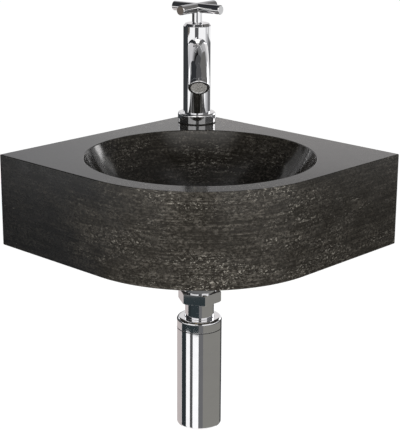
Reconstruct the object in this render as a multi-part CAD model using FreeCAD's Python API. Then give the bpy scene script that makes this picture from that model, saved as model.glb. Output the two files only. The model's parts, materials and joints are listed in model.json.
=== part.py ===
import FreeCAD, Part
import math
import os

# A corner hand basin of stone with a cold tap, a free-flow waste and a bottle trap.
# Origin: the rear corner edge, where the two walls meet, in the plane of the rim.
# +Z is up and the rounded front faces -Y. All lengths are in millimetres.

# General clearances
overrun = 20.0                   # how far cutting tools run past a face
fit_gap = 0.1                    # radial play of pieces that are pushed or screwed together
running_gap = 0.05               # radial play of turning pieces
free_gap = 0.4                   # room where turning pieces pass fixed ones

# Stone block
basin_wall_length = 300.0        # along each wall, from the rear corner
basin_height = 100.0
edge_softening = 1.0             # rounding of the outer edges
front_rim_width = 22.0           # flat rim between the bowl and the round front
wall_rim_width = 32.0            # flat rim between the bowl and each wall
bowl_depth = 80.0                # at the middle of a bowl that is part of a sphere
bowl_edge_rounding = 1.5
waste_seat_radius = 33.0         # flat seat ground in the bowl's floor
waste_hole_radius = 22.5
tap_hole_radius = 14.0
tap_axis_distance = 49.0         # from the rear corner, so that the handle clears both walls
tap_ledge_thickness = 30.0       # stone left under the tap, above the rear recess
rear_recess_radius = 84.0        # recess under the tap, about the rear corner, open to both walls
wall_hole_radius = 6.0           # blind holes for wall studs, two in each back face
wall_hole_depth = 50.0
wall_hole_drop = 55.0            # from the rim down to the holes
wall_hole_recess_distance = 16.0     # from the rear recess to the inner holes
wall_hole_end_distance = 90.0        # from the outer holes to the end of the wall

# Tap: foot and pillar
base_gasket_thickness = 1.0
base_gasket_inset = 0.8          # the gasket's rim stands back from the ring's
base_ring_radius = 22.3
base_ring_height = 11.0
base_ring_rounding = 2.5
base_ring_plate = 3.0            # floor of the ring, on which the pillar stands
body_radius = 16.1
body_height = 109.0              # pillar without its cap
shank_entry = 14.0               # shank screwed into the pillar
passage_radius = 5.5             # water way up to the valve
chamber_depth = 47.0             # from the pillar's top down to the valve's seat
chamber_radius = 11.0

# Tap: fixing under the ledge
shank_radius = 10.48             # half-inch pipe thread
shank_bore_radius = 6.5
shank_free_length = 6.0          # thread left under the nut
supply_tail_radius = 8.33        # three-eighths pipe thread for the supply
supply_tail_length = 14.0
rubber_washer_radius = 19.0
rubber_washer_thickness = 3.0
clamp_washer_radius = 18.0
clamp_washer_thickness = 2.0
back_nut_across_flats = 30.0
back_nut_height = 8.0

# Tap: spout
spout_radius = 12.0
spout_bore_radius = 9.0
spout_spigot_radius = 10.0       # enters the pillar's wall
spout_drop = 24.0                # from the pillar's top down to the spout's centreline
spout_bend_radius = 112.0
spout_bend_angle = 41.5
aerator_height = 5.0             # visible ring past the spout's end
aerator_entry = 8.0              # socket in the spout's end
aerator_thread_radius = 10.7
aerator_seal_thickness = 1.2
aerator_seal_bore = 8.2
aerator_bore = 8.9
aerator_insert_flange = 9.6
aerator_flange_thickness = 1.5
aerator_recess = 0.8             # insert stands back from the ring's face
aerator_hole_radius = 1.1
aerator_ring_shares = (0.38, 0.76)   # hole circles as shares of the insert's radius
aerator_ring_counts = (6, 12)

# Tap: ceramic valve
seat_seal_thickness = 2.0
seat_seal_radius = 8.3
disc_thickness = 3.0
disc_radius = 6.8
disc_port_inset = 1.4            # rim left outside a disc's half-round port
disc_port_web = 1.0              # middle web left beside the port
cage_radius = 8.5
cage_bore_radius = 7.2
cage_bore_height = 20.0          # from the lower disc's underside to the cage's ceiling
window_width = 9.0
window_height = 7.0
window_rise = 7.5                # from the lower disc's underside to the windows
headwork_thread_height = 11.0
headwork_ring_section = 0.7      # radius of the ring's round section
spindle_radius = 4.0
spindle_collar_radius = 6.5
spindle_collar_height = 4.0
tongue_width = 3.6
tongue_length = 10.0
tongue_depth = 1.5               # sits this deep in the upper disc
spindle_ring_section = 0.6
spindle_ring_drop = 6.0          # from the headwork's top to the spindle's ring
spindle_tip_radius = 3.0
spindle_tip_length = 9.0

# Tap: cap and cross handle
cap_height = 3.0
cap_top_radius = 13.7
cap_spigot = 4.0
neck_radius = 6.0
bar_radius = 5.5
bar_half_length = 33.0
bar_rise = 17.5                  # bar axis above the cap
bar_end_chamfer = 0.6
bar_angle = -37.0                # direction of the long bar, from +X
neck_overlap_share = 0.6         # how far the neck runs up the bars, as a share of their radius
grub_screw_radius = 1.5
grub_screw_sink = 0.4            # below the neck's surface
grub_socket_across_flats = 1.5
grub_socket_depth = 1.2

# Waste
waste_gasket_thickness = 1.5
waste_flange_radius = 31.5
waste_flange_thickness = 3.0
waste_flange_rounding = 1.2
waste_thread_radius = 20.95      # one and a quarter inch pipe thread
waste_bore_radius = 17.0
waste_thread_reach = 30.0        # below the stone
tail_radius = 18.95              # slimmer end that takes the union nut
tail_reach = 55.0                # below the stone
grid_radius = 19.9
grid_thickness = 1.8
grid_hole_radius = 2.2
grid_ring_shares = (0.45, 0.76)  # hole circles as shares of the grid's radius
grid_ring_counts = (8, 14)
bridge_width = 4.0
bridge_height = 5.0
bridge_boss_radius = 4.5
waste_screw_radius = 2.0
waste_screw_head_radius = 4.0
waste_screw_head_height = 1.6
waste_screw_slot_width = 1.0
waste_screw_slot_depth = 0.8
waste_lower_gasket_radius = 31.0
waste_lower_gasket_thickness = 3.0
slip_washer_radius = 30.0
slip_washer_thickness = 2.0
waste_nut_across_flats = 52.0
waste_nut_height = 10.0

# Trap
union_across_flats = 42.0        # the nut under the waste and the nut at the outlet are alike
union_height = 11.5
union_ledge = 2.5
union_chamfer = 0.8
union_angle = -17.0              # direction of one corner, from +X
union_washer_thickness = 1.5
tube_radius = 16.0               # 32 mm trap tube
tube_wall = 1.0
tube_collar_radius = 18.5
tube_collar_height = 2.0
lid_drop = 18.5                  # from the union nut's underside to the lid's top
lid_height = 12.0
lid_rounding = 3.5
bottle_radius = 24.8
bottle_wall = 2.2
bottle_floor = 3.0
bottle_height = 114.2
bottle_rounding = 4.0
lid_plate = 3.0
lid_spigot_height = 9.0          # screwed into the bottle
lid_spigot_wall = 2.8
tube_seal_width = 2.5
tube_seal_height = 4.0
lid_seal_thickness = 0.8
lid_seal_inset = 0.7             # the seam stands back from the bottle's side
outlet_drop = 25.7               # from the bottle's top edge to the outlet's axis
outlet_boss_length = 16.0        # beyond the bottle's side
outlet_stop_radius = 14.0
outlet_stop_depth = 2.0          # wall left as a stop for the wall tube
outlet_seal_thickness = 3.0
water_seal_depth = 50.0          # water that closes the trap

# Worked-out places
half_turn = 180.0
full_turn = 360.0
hexagon_sides = 6
up = FreeCAD.Vector(0, 0, 1)
side = FreeCAD.Vector(1, 0, 0)
backward = FreeCAD.Vector(0, 1, 0)
bowl_rim_radius = (basin_wall_length - wall_rim_width - front_rim_width) / 2
front_corner_radius = bowl_rim_radius + front_rim_width
bowl_y = -math.sqrt(2) * (basin_wall_length - front_corner_radius)
bowl_sphere_radius = (bowl_rim_radius ** 2 + bowl_depth ** 2) / (2 * bowl_depth)
tap_y = -tap_axis_distance
body_foot = base_gasket_thickness + base_ring_plate
body_top = body_foot + body_height
cap_top = body_top + cap_height
seat_z = body_top - chamber_depth
lower_disc_z = seat_z + seat_seal_thickness
upper_disc_z = lower_disc_z + disc_thickness
disc_top = upper_disc_z + disc_thickness
cage_ceiling = lower_disc_z + cage_bore_height
headwork_top = body_top - cap_spigot
thread_bottom = headwork_top - headwork_thread_height
bar_z = cap_top + bar_rise
spout_z = body_top - spout_drop
bend_start_y = tap_y - body_radius
bend_centre = FreeCAD.Vector(0, bend_start_y, spout_z - spout_bend_radius)
bend = math.radians(spout_bend_angle)
spout_end = bend_centre + FreeCAD.Vector(0, -math.sin(bend), math.cos(bend)) * spout_bend_radius
spout_way = FreeCAD.Vector(0, -math.cos(bend), -math.sin(bend))
ledge_z = -tap_ledge_thickness
clamp_washer_z = ledge_z - rubber_washer_thickness
back_nut_z = clamp_washer_z - clamp_washer_thickness
shank_end = back_nut_z - back_nut_height - shank_free_length
supply_end = shank_end - supply_tail_length
seat_plane = -bowl_depth
waste_flange_z = seat_plane + waste_gasket_thickness
waste_flange_top = waste_flange_z + waste_flange_thickness
grid_z = waste_flange_top - grid_thickness
underside = -basin_height
slip_washer_z = underside - waste_lower_gasket_thickness
waste_nut_z = slip_washer_z - slip_washer_thickness
tail_end = underside - tail_reach
tube_top = tail_end - union_washer_thickness
ledge_top = tube_top - tube_collar_height
union_bottom = ledge_top - union_ledge
lid_top = union_bottom - lid_drop
lid_bottom = lid_top - lid_height
bottle_top = lid_bottom - lid_seal_thickness
bottle_bottom = bottle_top - bottle_height
bottle_bore = bottle_radius - bottle_wall
outlet_z = bottle_top - outlet_drop
outlet_bore = tube_radius + fit_gap
boss_end_y = bowl_y + bottle_radius + outlet_boss_length
dip_end = outlet_z - outlet_stop_radius - water_seal_depth


def cylinder(radius, low, high, y=0):
    """Upright cylinder about the axis at y."""
    return Part.makeCylinder(radius, high - low, FreeCAD.Vector(0, y, low), up)


def ring(outer, inner, low, high, y=0):
    """Upright ring about the axis at y."""
    return cylinder(outer, low, high, y).cut(cylinder(inner, low - overrun, high + overrun, y))


def rod(radius, start, way, length):
    """Cylinder from a point along a direction."""
    return Part.makeCylinder(radius, length, start, way)


def block(centre_x, centre_y, width, depth, low, high):
    """Upright box about a centre line."""
    corner = FreeCAD.Vector(centre_x - width / 2, centre_y - depth / 2, low)
    return Part.makeBox(width, depth, high - low, corner)


def hexagon(across_flats, low, high, y, turn):
    """Upright hexagonal bar with one corner at the angle turn."""
    corner_radius = across_flats / math.sqrt(3)
    points = []
    for corner in range(hexagon_sides + 1):
        angle = math.radians(turn + corner * full_turn / hexagon_sides)
        corner_y = y + corner_radius * math.sin(angle)
        points.append(FreeCAD.Vector(corner_radius * math.cos(angle), corner_y, low))
    return Part.Face(Part.makePolygon(points)).extrude(up * (high - low))


def chamfered_hexagon(across_flats, low, high, y, turn, chamfer):
    """Hexagonal nut blank whose corners are turned off at both ends."""
    wide = across_flats / math.sqrt(3) + fit_gap
    slim = wide - chamfer * math.sqrt(3)
    lower = Part.makeCone(slim, wide, chamfer, FreeCAD.Vector(0, y, low), up)
    upper = Part.makeCone(wide, slim, chamfer, FreeCAD.Vector(0, y, high - chamfer), up)
    middle = cylinder(wide, low + chamfer, high - chamfer, y)
    return hexagon(across_flats, low, high, y, turn).common(middle.fuse([lower, upper]).removeSplitter())


def circle_edges(shape, radius, z):
    """Edges of a shape that are circles of one radius at one height."""
    found = []
    for edge in shape.Edges:
        if edge.Degenerated or not isinstance(edge.Curve, Part.Circle):
            continue
        box = edge.BoundBox
        same_radius = math.isclose(edge.Curve.Radius, radius, abs_tol=running_gap)
        if same_radius and max(abs(box.ZMin - z), abs(box.ZMax - z)) < running_gap:
            found.append(edge)
    return found


def hole_circle(radius, count, hole_radius, low, high, y):
    """Upright cutting pins on a circle."""
    pins = []
    for number in range(count):
        angle = math.radians(number * full_turn / count)
        place = FreeCAD.Vector(radius * math.cos(angle), y + radius * math.sin(angle), low)
        pins.append(Part.makeCylinder(hole_radius, high - low, place, up))
    return pins


def wall_directions():
    """Each wall's own direction away from the corner, and its way out of the block."""
    share = 1 / math.sqrt(2)
    return (
        (FreeCAD.Vector(-share, -share, 0), FreeCAD.Vector(-share, share, 0)),
        (FreeCAD.Vector(share, -share, 0), FreeCAD.Vector(share, share, 0)),
    )


def basin_plan():
    """Outline from above: two straight backs, two short sides and the round front."""
    left_way, right_way = wall_directions()[0][0], wall_directions()[1][0]
    rear = FreeCAD.Vector(0, 0, underside)
    left = rear + left_way * basin_wall_length
    right = rear + right_way * basin_wall_length
    straight = basin_wall_length - front_corner_radius
    left_tangent = left + right_way * straight
    right_tangent = right + left_way * straight
    front = FreeCAD.Vector(0, bowl_y - front_corner_radius, underside)
    edges = [
        Part.makeLine(rear, left),
        Part.makeLine(left, left_tangent),
        Part.Arc(left_tangent, front, right_tangent).toShape(),
        Part.makeLine(right_tangent, right),
        Part.makeLine(right, rear),
    ]
    return Part.Face(Part.Wire(edges))


def outer_edges(block_solid):
    """Edges to soften: all round the top and the underside, and the two upright edges at the sides."""
    side_reach = basin_wall_length / math.sqrt(2)
    found = []
    for edge in block_solid.Edges:
        box = edge.BoundBox
        level = box.ZMax - box.ZMin < edge_softening
        reach = min(abs(box.XMin), abs(box.XMax))
        if level or side_reach - reach < edge_softening:
            found.append(edge)
    return found


def basin_block():
    """Stone block with its bowl, seats, holes and rear recess."""
    block_solid = basin_plan().extrude(up * basin_height)
    block_solid = block_solid.makeFillet(edge_softening, outer_edges(block_solid))
    bowl_centre = FreeCAD.Vector(0, bowl_y, bowl_sphere_radius - bowl_depth)
    block_solid = block_solid.cut(Part.makeSphere(bowl_sphere_radius, bowl_centre))
    block_solid = block_solid.makeFillet(bowl_edge_rounding, circle_edges(block_solid, bowl_rim_radius, 0))
    block_solid = block_solid.cut(cylinder(waste_seat_radius, seat_plane, overrun, bowl_y))
    block_solid = block_solid.cut(cylinder(waste_hole_radius, underside - overrun, overrun, bowl_y))
    block_solid = block_solid.cut(cylinder(tap_hole_radius, underside - overrun, overrun, tap_y))
    block_solid = block_solid.cut(cylinder(rear_recess_radius, underside - overrun, ledge_z))
    places = (rear_recess_radius + wall_hole_recess_distance, basin_wall_length - wall_hole_end_distance)
    for along, outward in wall_directions():
        for place in places:
            mouth = along * place - up * wall_hole_drop
            hole = rod(wall_hole_radius, mouth + outward * overrun, -outward, wall_hole_depth + overrun)
            block_solid = block_solid.cut(hole)
    return block_solid


def tap_base_gasket():
    """Flat gasket between the stone and the tap's foot ring."""
    outer = base_ring_radius - base_gasket_inset
    return ring(outer, shank_radius + fit_gap, 0, base_gasket_thickness, tap_y)


def tap_base_ring():
    """Foot ring with a floor that the pillar stands on."""
    top = base_gasket_thickness + base_ring_height
    foot = cylinder(base_ring_radius, base_gasket_thickness, top, tap_y)
    foot = foot.makeFillet(base_ring_rounding, circle_edges(foot, base_ring_radius, top))
    foot = foot.cut(cylinder(body_radius + fit_gap, body_foot, top + overrun, tap_y))
    return foot.cut(cylinder(shank_radius + fit_gap, -overrun, top, tap_y))


def tap_body():
    """Pillar with the shank's thread, the water way, the valve chamber and the spout's hole."""
    pillar = cylinder(body_radius, body_foot, body_top, tap_y)
    pillar = pillar.cut(cylinder(shank_radius + fit_gap, body_foot - overrun, body_foot + shank_entry, tap_y))
    pillar = pillar.cut(cylinder(passage_radius, body_foot, seat_z, tap_y))
    pillar = pillar.cut(cylinder(chamber_radius, seat_z, body_top + overrun, tap_y))
    spout_hole = rod(spout_spigot_radius + fit_gap, FreeCAD.Vector(0, tap_y, spout_z), -backward,
                     body_radius + overrun)
    return pillar.cut(spout_hole)


def tap_shank():
    """Threaded pipe that holds the tap, with a slimmer tail for the supply."""
    top = body_foot + shank_entry
    pipe = cylinder(shank_radius, shank_end, top, tap_y)
    pipe = pipe.fuse(cylinder(supply_tail_radius, supply_end, shank_end, tap_y))
    return pipe.cut(cylinder(shank_bore_radius, supply_end - overrun, top + overrun, tap_y))


def shank_rubber_washer():
    """Soft washer under the ledge."""
    return ring(rubber_washer_radius, shank_radius + fit_gap, clamp_washer_z, ledge_z, tap_y)


def shank_clamp_washer():
    """Metal washer between the soft washer and the nut."""
    return ring(clamp_washer_radius, shank_radius + fit_gap, back_nut_z, clamp_washer_z, tap_y)


def shank_back_nut():
    """Nut that pulls the tap down on the stone."""
    low = back_nut_z - back_nut_height
    blank = chamfered_hexagon(back_nut_across_flats, low, back_nut_z, tap_y, 0, union_chamfer)
    return blank.cut(cylinder(shank_radius + fit_gap, low - overrun, back_nut_z + overrun, tap_y))


def bent_rod(radius):
    """Rod along the spout's centreline, from the tap's axis to the spout's end."""
    straight = rod(radius, FreeCAD.Vector(0, tap_y, spout_z), -backward, body_radius)
    section = Part.makeCircle(radius, FreeCAD.Vector(0, bend_start_y, spout_z), backward)
    curve = Part.Face(Part.Wire(section)).revolve(bend_centre, side, spout_bend_angle)
    return straight.fuse(curve).removeSplitter()


def spout_tube():
    """Bent spout, saddled on the pillar, with a spigot inside the pillar's wall."""
    tube = bent_rod(spout_radius)
    tube = tube.cut(cylinder(body_radius + running_gap, body_foot, body_top, tap_y))
    spigot_start = FreeCAD.Vector(0, tap_y - chamber_radius - running_gap, spout_z)
    spigot_length = body_radius - chamber_radius + spout_radius - spout_spigot_radius
    tube = tube.fuse(rod(spout_spigot_radius, spigot_start, -backward, spigot_length))
    chamber_clear = cylinder(chamber_radius + running_gap, body_foot, body_top, tap_y)
    tube = tube.cut(chamber_clear).cut(bent_rod(spout_bore_radius))
    socket = rod(aerator_thread_radius + fit_gap, spout_end - spout_way * aerator_entry, spout_way,
                 aerator_entry + overrun)
    return tube.cut(socket)


def along_outlet(radius, start, end):
    """Rod on the outlet's axis between two distances from the spout's end."""
    return rod(radius, spout_end + spout_way * start, spout_way, end - start)


def aerator_housing():
    """Ring that screws into the spout's end and holds the insert."""
    spigot_start = aerator_seal_thickness - aerator_entry
    flange_end = spigot_start + aerator_flange_thickness
    housing = along_outlet(spout_radius, 0, aerator_height)
    housing = housing.fuse(along_outlet(aerator_thread_radius, spigot_start, 0)).removeSplitter()
    housing = housing.cut(along_outlet(aerator_insert_flange + fit_gap, spigot_start - overrun, flange_end))
    return housing.cut(along_outlet(aerator_bore, spigot_start - overrun, aerator_height + overrun))


def aerator_insert():
    """Flow straightener: a flanged disc with rings of holes."""
    start = aerator_seal_thickness - aerator_entry
    flange_end = start + aerator_flange_thickness
    end = aerator_height - aerator_recess
    radius = aerator_bore - fit_gap
    insert = along_outlet(aerator_insert_flange, start, flange_end)
    insert = insert.fuse(along_outlet(radius, flange_end, end))
    across = spout_way.cross(side)
    places = [FreeCAD.Vector(0, 0, 0)]
    for share, count in zip(aerator_ring_shares, aerator_ring_counts):
        for number in range(count):
            angle = math.radians(number * full_turn / count)
            places.append((side * math.cos(angle) + across * math.sin(angle)) * (share * radius))
    for place in places:
        first = spout_end + spout_way * (start - overrun) + place
        insert = insert.cut(rod(aerator_hole_radius, first, spout_way, end - start + 2 * overrun))
    return insert.removeSplitter()


def aerator_seal():
    """Flat ring that the housing presses against the spout."""
    disc = along_outlet(aerator_thread_radius, -aerator_entry, aerator_seal_thickness - aerator_entry)
    return disc.cut(along_outlet(aerator_seal_bore, -aerator_entry - overrun, overrun))


def seat_seal():
    """Rubber ring between the chamber's floor and the lower disc."""
    return ring(seat_seal_radius, passage_radius, seat_z, lower_disc_z, tap_y)


def ceramic_disc(low, port_way):
    """Ceramic disc with a half-round port on one side."""
    high = low + disc_thickness
    port = cylinder(disc_radius - disc_port_inset, low - overrun, high + overrun, tap_y)
    half_width = disc_radius + overrun
    keep_centre = tap_y + port_way * (disc_port_web + half_width)
    half = block(0, keep_centre, 2 * half_width, 2 * half_width, low - overrun, high + overrun)
    return cylinder(disc_radius, low, high, tap_y).cut(port.common(half))


def lower_ceramic_disc():
    """Fixed disc of the valve."""
    return ceramic_disc(lower_disc_z, 1)


def tongue(clearance, low, high):
    """Tongue that turns the upper disc."""
    return block(0, tap_y, tongue_length + 2 * clearance, tongue_width + 2 * clearance, low, high)


def upper_ceramic_disc():
    """Turning disc of the valve, with a slot for the spindle's tongue."""
    disc = ceramic_disc(upper_disc_z, -1)
    return disc.cut(tongue(fit_gap, disc_top - tongue_depth, disc_top + overrun))


def headwork_body():
    """Valve cage with side windows, closed by a threaded head round the spindle."""
    cage = cylinder(cage_radius, lower_disc_z, headwork_top, tap_y)
    head = cylinder(chamber_radius - fit_gap, thread_bottom, headwork_top, tap_y)
    cage = cage.fuse(head).removeSplitter()
    cage = cage.cut(cylinder(cage_bore_radius, lower_disc_z - overrun, cage_ceiling, tap_y))
    cage = cage.cut(cylinder(spindle_radius + running_gap, cage_ceiling, headwork_top + overrun, tap_y))
    window_low = lower_disc_z + window_rise
    window_high = window_low + window_height
    window = block(0, tap_y, window_width, 2 * (cage_radius + overrun), window_low, window_high)
    middle = (thread_bottom + headwork_top) / 2
    return cage.cut(window).cut(headwork_groove(middle))


def headwork_groove(middle):
    """Square groove for the ring round the headwork."""
    outer = chamber_radius + overrun
    inner = chamber_radius - fit_gap - 2 * headwork_ring_section
    half_width = headwork_ring_section + fit_gap
    return ring(outer, inner, middle - half_width, middle + half_width, tap_y)


def headwork_o_ring():
    """Round-section ring between headwork and pillar."""
    middle = (thread_bottom + headwork_top) / 2
    centre_radius = chamber_radius - fit_gap - headwork_ring_section
    return Part.makeTorus(centre_radius, headwork_ring_section, FreeCAD.Vector(0, tap_y, middle), up)


def spindle():
    """Turning spindle with its tongue, collar, ring groove and slim tip for the handle."""
    collar_top = cage_ceiling - fit_gap
    stem = cylinder(spindle_radius, collar_top - spindle_collar_height, cap_top + free_gap, tap_y)
    collar = cylinder(spindle_collar_radius, collar_top - spindle_collar_height, collar_top, tap_y)
    tip = cylinder(spindle_tip_radius, cap_top, cap_top + free_gap + spindle_tip_length, tap_y)
    foot = tongue(0, disc_top - tongue_depth, collar_top - spindle_collar_height)
    stem = stem.fuse([collar, tip, foot]).removeSplitter()
    ring_z = headwork_top - spindle_ring_drop
    inner = spindle_radius - 2 * spindle_ring_section
    low = ring_z - spindle_ring_section - fit_gap
    high = ring_z + spindle_ring_section + fit_gap
    return stem.cut(ring(spindle_radius + overrun, inner, low, high, tap_y))


def spindle_o_ring():
    """Round-section ring that seals the spindle in its headwork."""
    centre = FreeCAD.Vector(0, tap_y, headwork_top - spindle_ring_drop)
    return Part.makeTorus(spindle_radius - spindle_ring_section, spindle_ring_section, centre, up)


def bonnet_cap():
    """Chamfered cap with a spigot that screws into the pillar's top."""
    place = FreeCAD.Vector(0, tap_y, body_top)
    cap = Part.makeCone(body_radius, cap_top_radius, cap_height, place, up)
    cap = cap.fuse(cylinder(chamber_radius - fit_gap, headwork_top, body_top, tap_y))
    return cap.cut(cylinder(spindle_radius + free_gap, headwork_top - overrun, cap_top + overrun, tap_y))


def handle_bar(turn, start, end, radius):
    """Round bar of the cross handle, from one distance to another along its direction."""
    angle = math.radians(turn)
    way = FreeCAD.Vector(math.cos(angle), math.sin(angle), 0)
    return rod(radius, FreeCAD.Vector(0, tap_y, bar_z) + way * start, way, end - start)


def end_circles(shape, reach):
    """Edges of a bar's flat ends, which lie at one reach from the tap's axis."""
    axis_point = FreeCAD.Vector(0, tap_y, bar_z)
    found = []
    for edge in shape.Edges:
        if isinstance(edge.Curve, Part.Circle):
            if math.isclose(edge.Curve.Center.distanceToPoint(axis_point), reach, abs_tol=fit_gap):
                found.append(edge)
    return found


def handle_cross_bar():
    """Long bar, straight through."""
    bar = handle_bar(bar_angle, -bar_half_length, bar_half_length, bar_radius)
    return bar.makeChamfer(bar_end_chamfer, end_circles(bar, bar_half_length))


def handle_side_arms():
    """Two arms saddled on the long bar's sides."""
    through = handle_bar(bar_angle, -bar_half_length, bar_half_length, bar_radius + running_gap)
    arms = []
    for turn in (bar_angle + half_turn / 2, bar_angle - half_turn / 2):
        arm = handle_bar(turn, 0, bar_half_length, bar_radius)
        arm = arm.makeChamfer(bar_end_chamfer, end_circles(arm, bar_half_length))
        arms.append(arm.cut(through))
    return Part.makeCompound([max(arm.Solids, key=lambda solid: solid.Volume) for arm in arms])


def handle_neck():
    """Neck that carries the cross and sits on the spindle's tip."""
    top = bar_z - bar_radius + neck_overlap_share * bar_radius
    neck = cylinder(neck_radius, cap_top + free_gap, top, tap_y)
    for turn in (bar_angle, bar_angle + half_turn / 2):
        neck = neck.cut(handle_bar(turn, -bar_half_length, bar_half_length, bar_radius + running_gap))
    neck = max(neck.Solids, key=lambda solid: solid.Volume)
    tip_top = cap_top + free_gap + spindle_tip_length + fit_gap
    neck = neck.cut(cylinder(spindle_tip_radius + fit_gap, cap_top, tip_top, tap_y))
    return neck.cut(rod(grub_screw_radius + fit_gap, grub_centre(), backward, neck_radius + overrun))


def grub_centre():
    """Point on the spindle's axis behind which the grub screw lies."""
    return FreeCAD.Vector(0, tap_y, cap_top + free_gap + spindle_tip_length / 2)


def handle_grub_screw():
    """Headless screw with a hexagon socket, at the rear of the neck."""
    start = spindle_tip_radius
    end = neck_radius - grub_screw_sink
    screw = rod(grub_screw_radius, grub_centre() + backward * start, backward, end - start)
    socket = hexagon(grub_socket_across_flats, end - grub_socket_depth, end + overrun, 0, 0)
    socket.rotate(FreeCAD.Vector(0, 0, 0), side, -half_turn / 2)
    socket.translate(grub_centre())
    return screw.cut(socket)


def waste_upper_gasket():
    """Gasket between the bowl's seat and the waste's flange."""
    return ring(waste_flange_radius, waste_thread_radius + fit_gap, seat_plane, waste_flange_z, bowl_y)


def waste_body():
    """Flanged waste with a bridge for the grid's screw, a threaded pipe and a slim tail."""
    body = cylinder(waste_flange_radius, waste_flange_z, waste_flange_top, bowl_y)
    body = body.makeFillet(waste_flange_rounding, circle_edges(body, waste_flange_radius, waste_flange_top))
    thread_end = underside - waste_thread_reach
    body = body.fuse(cylinder(waste_thread_radius, thread_end, waste_flange_z, bowl_y))
    body = body.fuse(cylinder(tail_radius, tail_end, thread_end, bowl_y)).removeSplitter()
    body = body.cut(cylinder(waste_bore_radius, tail_end - overrun, waste_flange_top + overrun, bowl_y))
    body = body.cut(cylinder(grid_radius + fit_gap, grid_z, waste_flange_top + overrun, bowl_y))
    bridge_low = grid_z - bridge_height
    bridge = block(0, bowl_y, 2 * (waste_bore_radius + fit_gap), bridge_width, bridge_low, grid_z)
    bridge = bridge.fuse(cylinder(bridge_boss_radius, bridge_low, grid_z, bowl_y))
    body = body.fuse(bridge).removeSplitter()
    return body.cut(cylinder(waste_screw_radius + fit_gap, bridge_low - overrun, waste_flange_top, bowl_y))


def waste_grid():
    """Flat grid, let into the flange."""
    low = grid_z - overrun
    high = waste_flange_top + overrun
    holes = [cylinder(waste_screw_radius + fit_gap, low, high, bowl_y)]
    for share, count in zip(grid_ring_shares, grid_ring_counts):
        holes += hole_circle(share * grid_radius, count, grid_hole_radius, low, high, bowl_y)
    return cylinder(grid_radius, grid_z, waste_flange_top, bowl_y).cut(holes)


def waste_screw():
    """Slotted screw through the grid into the bridge."""
    head_top = waste_flange_top + waste_screw_head_height
    head = cylinder(waste_screw_head_radius, waste_flange_top, head_top, bowl_y)
    head = head.makeFillet(waste_screw_head_height / 2, circle_edges(head, waste_screw_head_radius, head_top))
    screw = head.fuse(cylinder(waste_screw_radius, grid_z - bridge_height, waste_flange_top, bowl_y))
    slot = block(0, bowl_y, 2 * waste_screw_head_radius + overrun, waste_screw_slot_width,
                 head_top - waste_screw_slot_depth, head_top + overrun)
    return screw.cut(slot)


def waste_lower_gasket():
    """Soft ring under the stone."""
    return ring(waste_lower_gasket_radius, waste_thread_radius + fit_gap, slip_washer_z, underside, bowl_y)


def waste_slip_washer():
    """Smooth washer that lets the nut turn on the soft ring."""
    return ring(slip_washer_radius, waste_thread_radius + fit_gap, waste_nut_z, slip_washer_z, bowl_y)


def waste_back_nut():
    """Nut that clamps the waste in the stone."""
    low = waste_nut_z - waste_nut_height
    blank = chamfered_hexagon(waste_nut_across_flats, low, waste_nut_z, bowl_y, 0, union_chamfer)
    return blank.cut(cylinder(waste_thread_radius + fit_gap, low - overrun, waste_nut_z + overrun, bowl_y))


def union_blank(turn):
    """Union nut about the Z axis, with its ledge at the bottom and its underside at height zero."""
    nut = chamfered_hexagon(union_across_flats, 0, union_height, 0, turn, union_chamfer)
    nut = nut.cut(cylinder(tail_radius + fit_gap, union_ledge, union_height + overrun))
    return nut.cut(cylinder(outlet_bore, -overrun, union_height))


def union_nut():
    """Nut that hangs the trap on the waste's tail."""
    nut = union_blank(union_angle)
    nut.translate(FreeCAD.Vector(0, bowl_y, union_bottom))
    return nut


def union_washer():
    """Flat washer between the tail and the tube's collar."""
    return ring(tube_collar_radius, tube_radius - tube_wall, tube_top, tail_end, bowl_y)


def inlet_tube():
    """Tube with a collar, down through the lid into the trap's water."""
    tube = cylinder(tube_radius, dip_end, tube_top, bowl_y)
    tube = tube.fuse(cylinder(tube_collar_radius, ledge_top, tube_top, bowl_y))
    return tube.cut(cylinder(tube_radius - tube_wall, dip_end - overrun, tube_top + overrun, bowl_y))


def trap_lid():
    """Lid with a sealed hole for the tube and a spigot that screws into the bottle."""
    lid = cylinder(bottle_radius, lid_bottom, lid_top, bowl_y)
    lid = lid.makeFillet(lid_rounding, circle_edges(lid, bottle_radius, lid_top))
    spigot_radius = bottle_bore - fit_gap
    spigot_low = lid_bottom - lid_spigot_height
    lid = lid.fuse(cylinder(spigot_radius, spigot_low, lid_bottom, bowl_y))
    groove_top = lid_top - lid_plate
    groove_low = groove_top - tube_seal_height
    lid = lid.cut(cylinder(tube_radius + fit_gap, spigot_low - overrun, lid_top + overrun, bowl_y))
    lid = lid.cut(cylinder(tube_radius + tube_seal_width, groove_low, groove_top, bowl_y))
    hollow = cylinder(spigot_radius - lid_spigot_wall, spigot_low - overrun, groove_low - lid_plate, bowl_y)
    return lid.cut(hollow)


def lid_tube_seal():
    """Ring that seals the tube in the lid."""
    high = lid_top - lid_plate
    outer = tube_radius + tube_seal_width - fit_gap
    return ring(outer, tube_radius + running_gap, high - tube_seal_height, high, bowl_y)


def lid_seal():
    """Thin ring in the seam between lid and bottle."""
    return ring(bottle_radius - lid_seal_inset, bottle_bore, bottle_top, lid_bottom, bowl_y)


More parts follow.
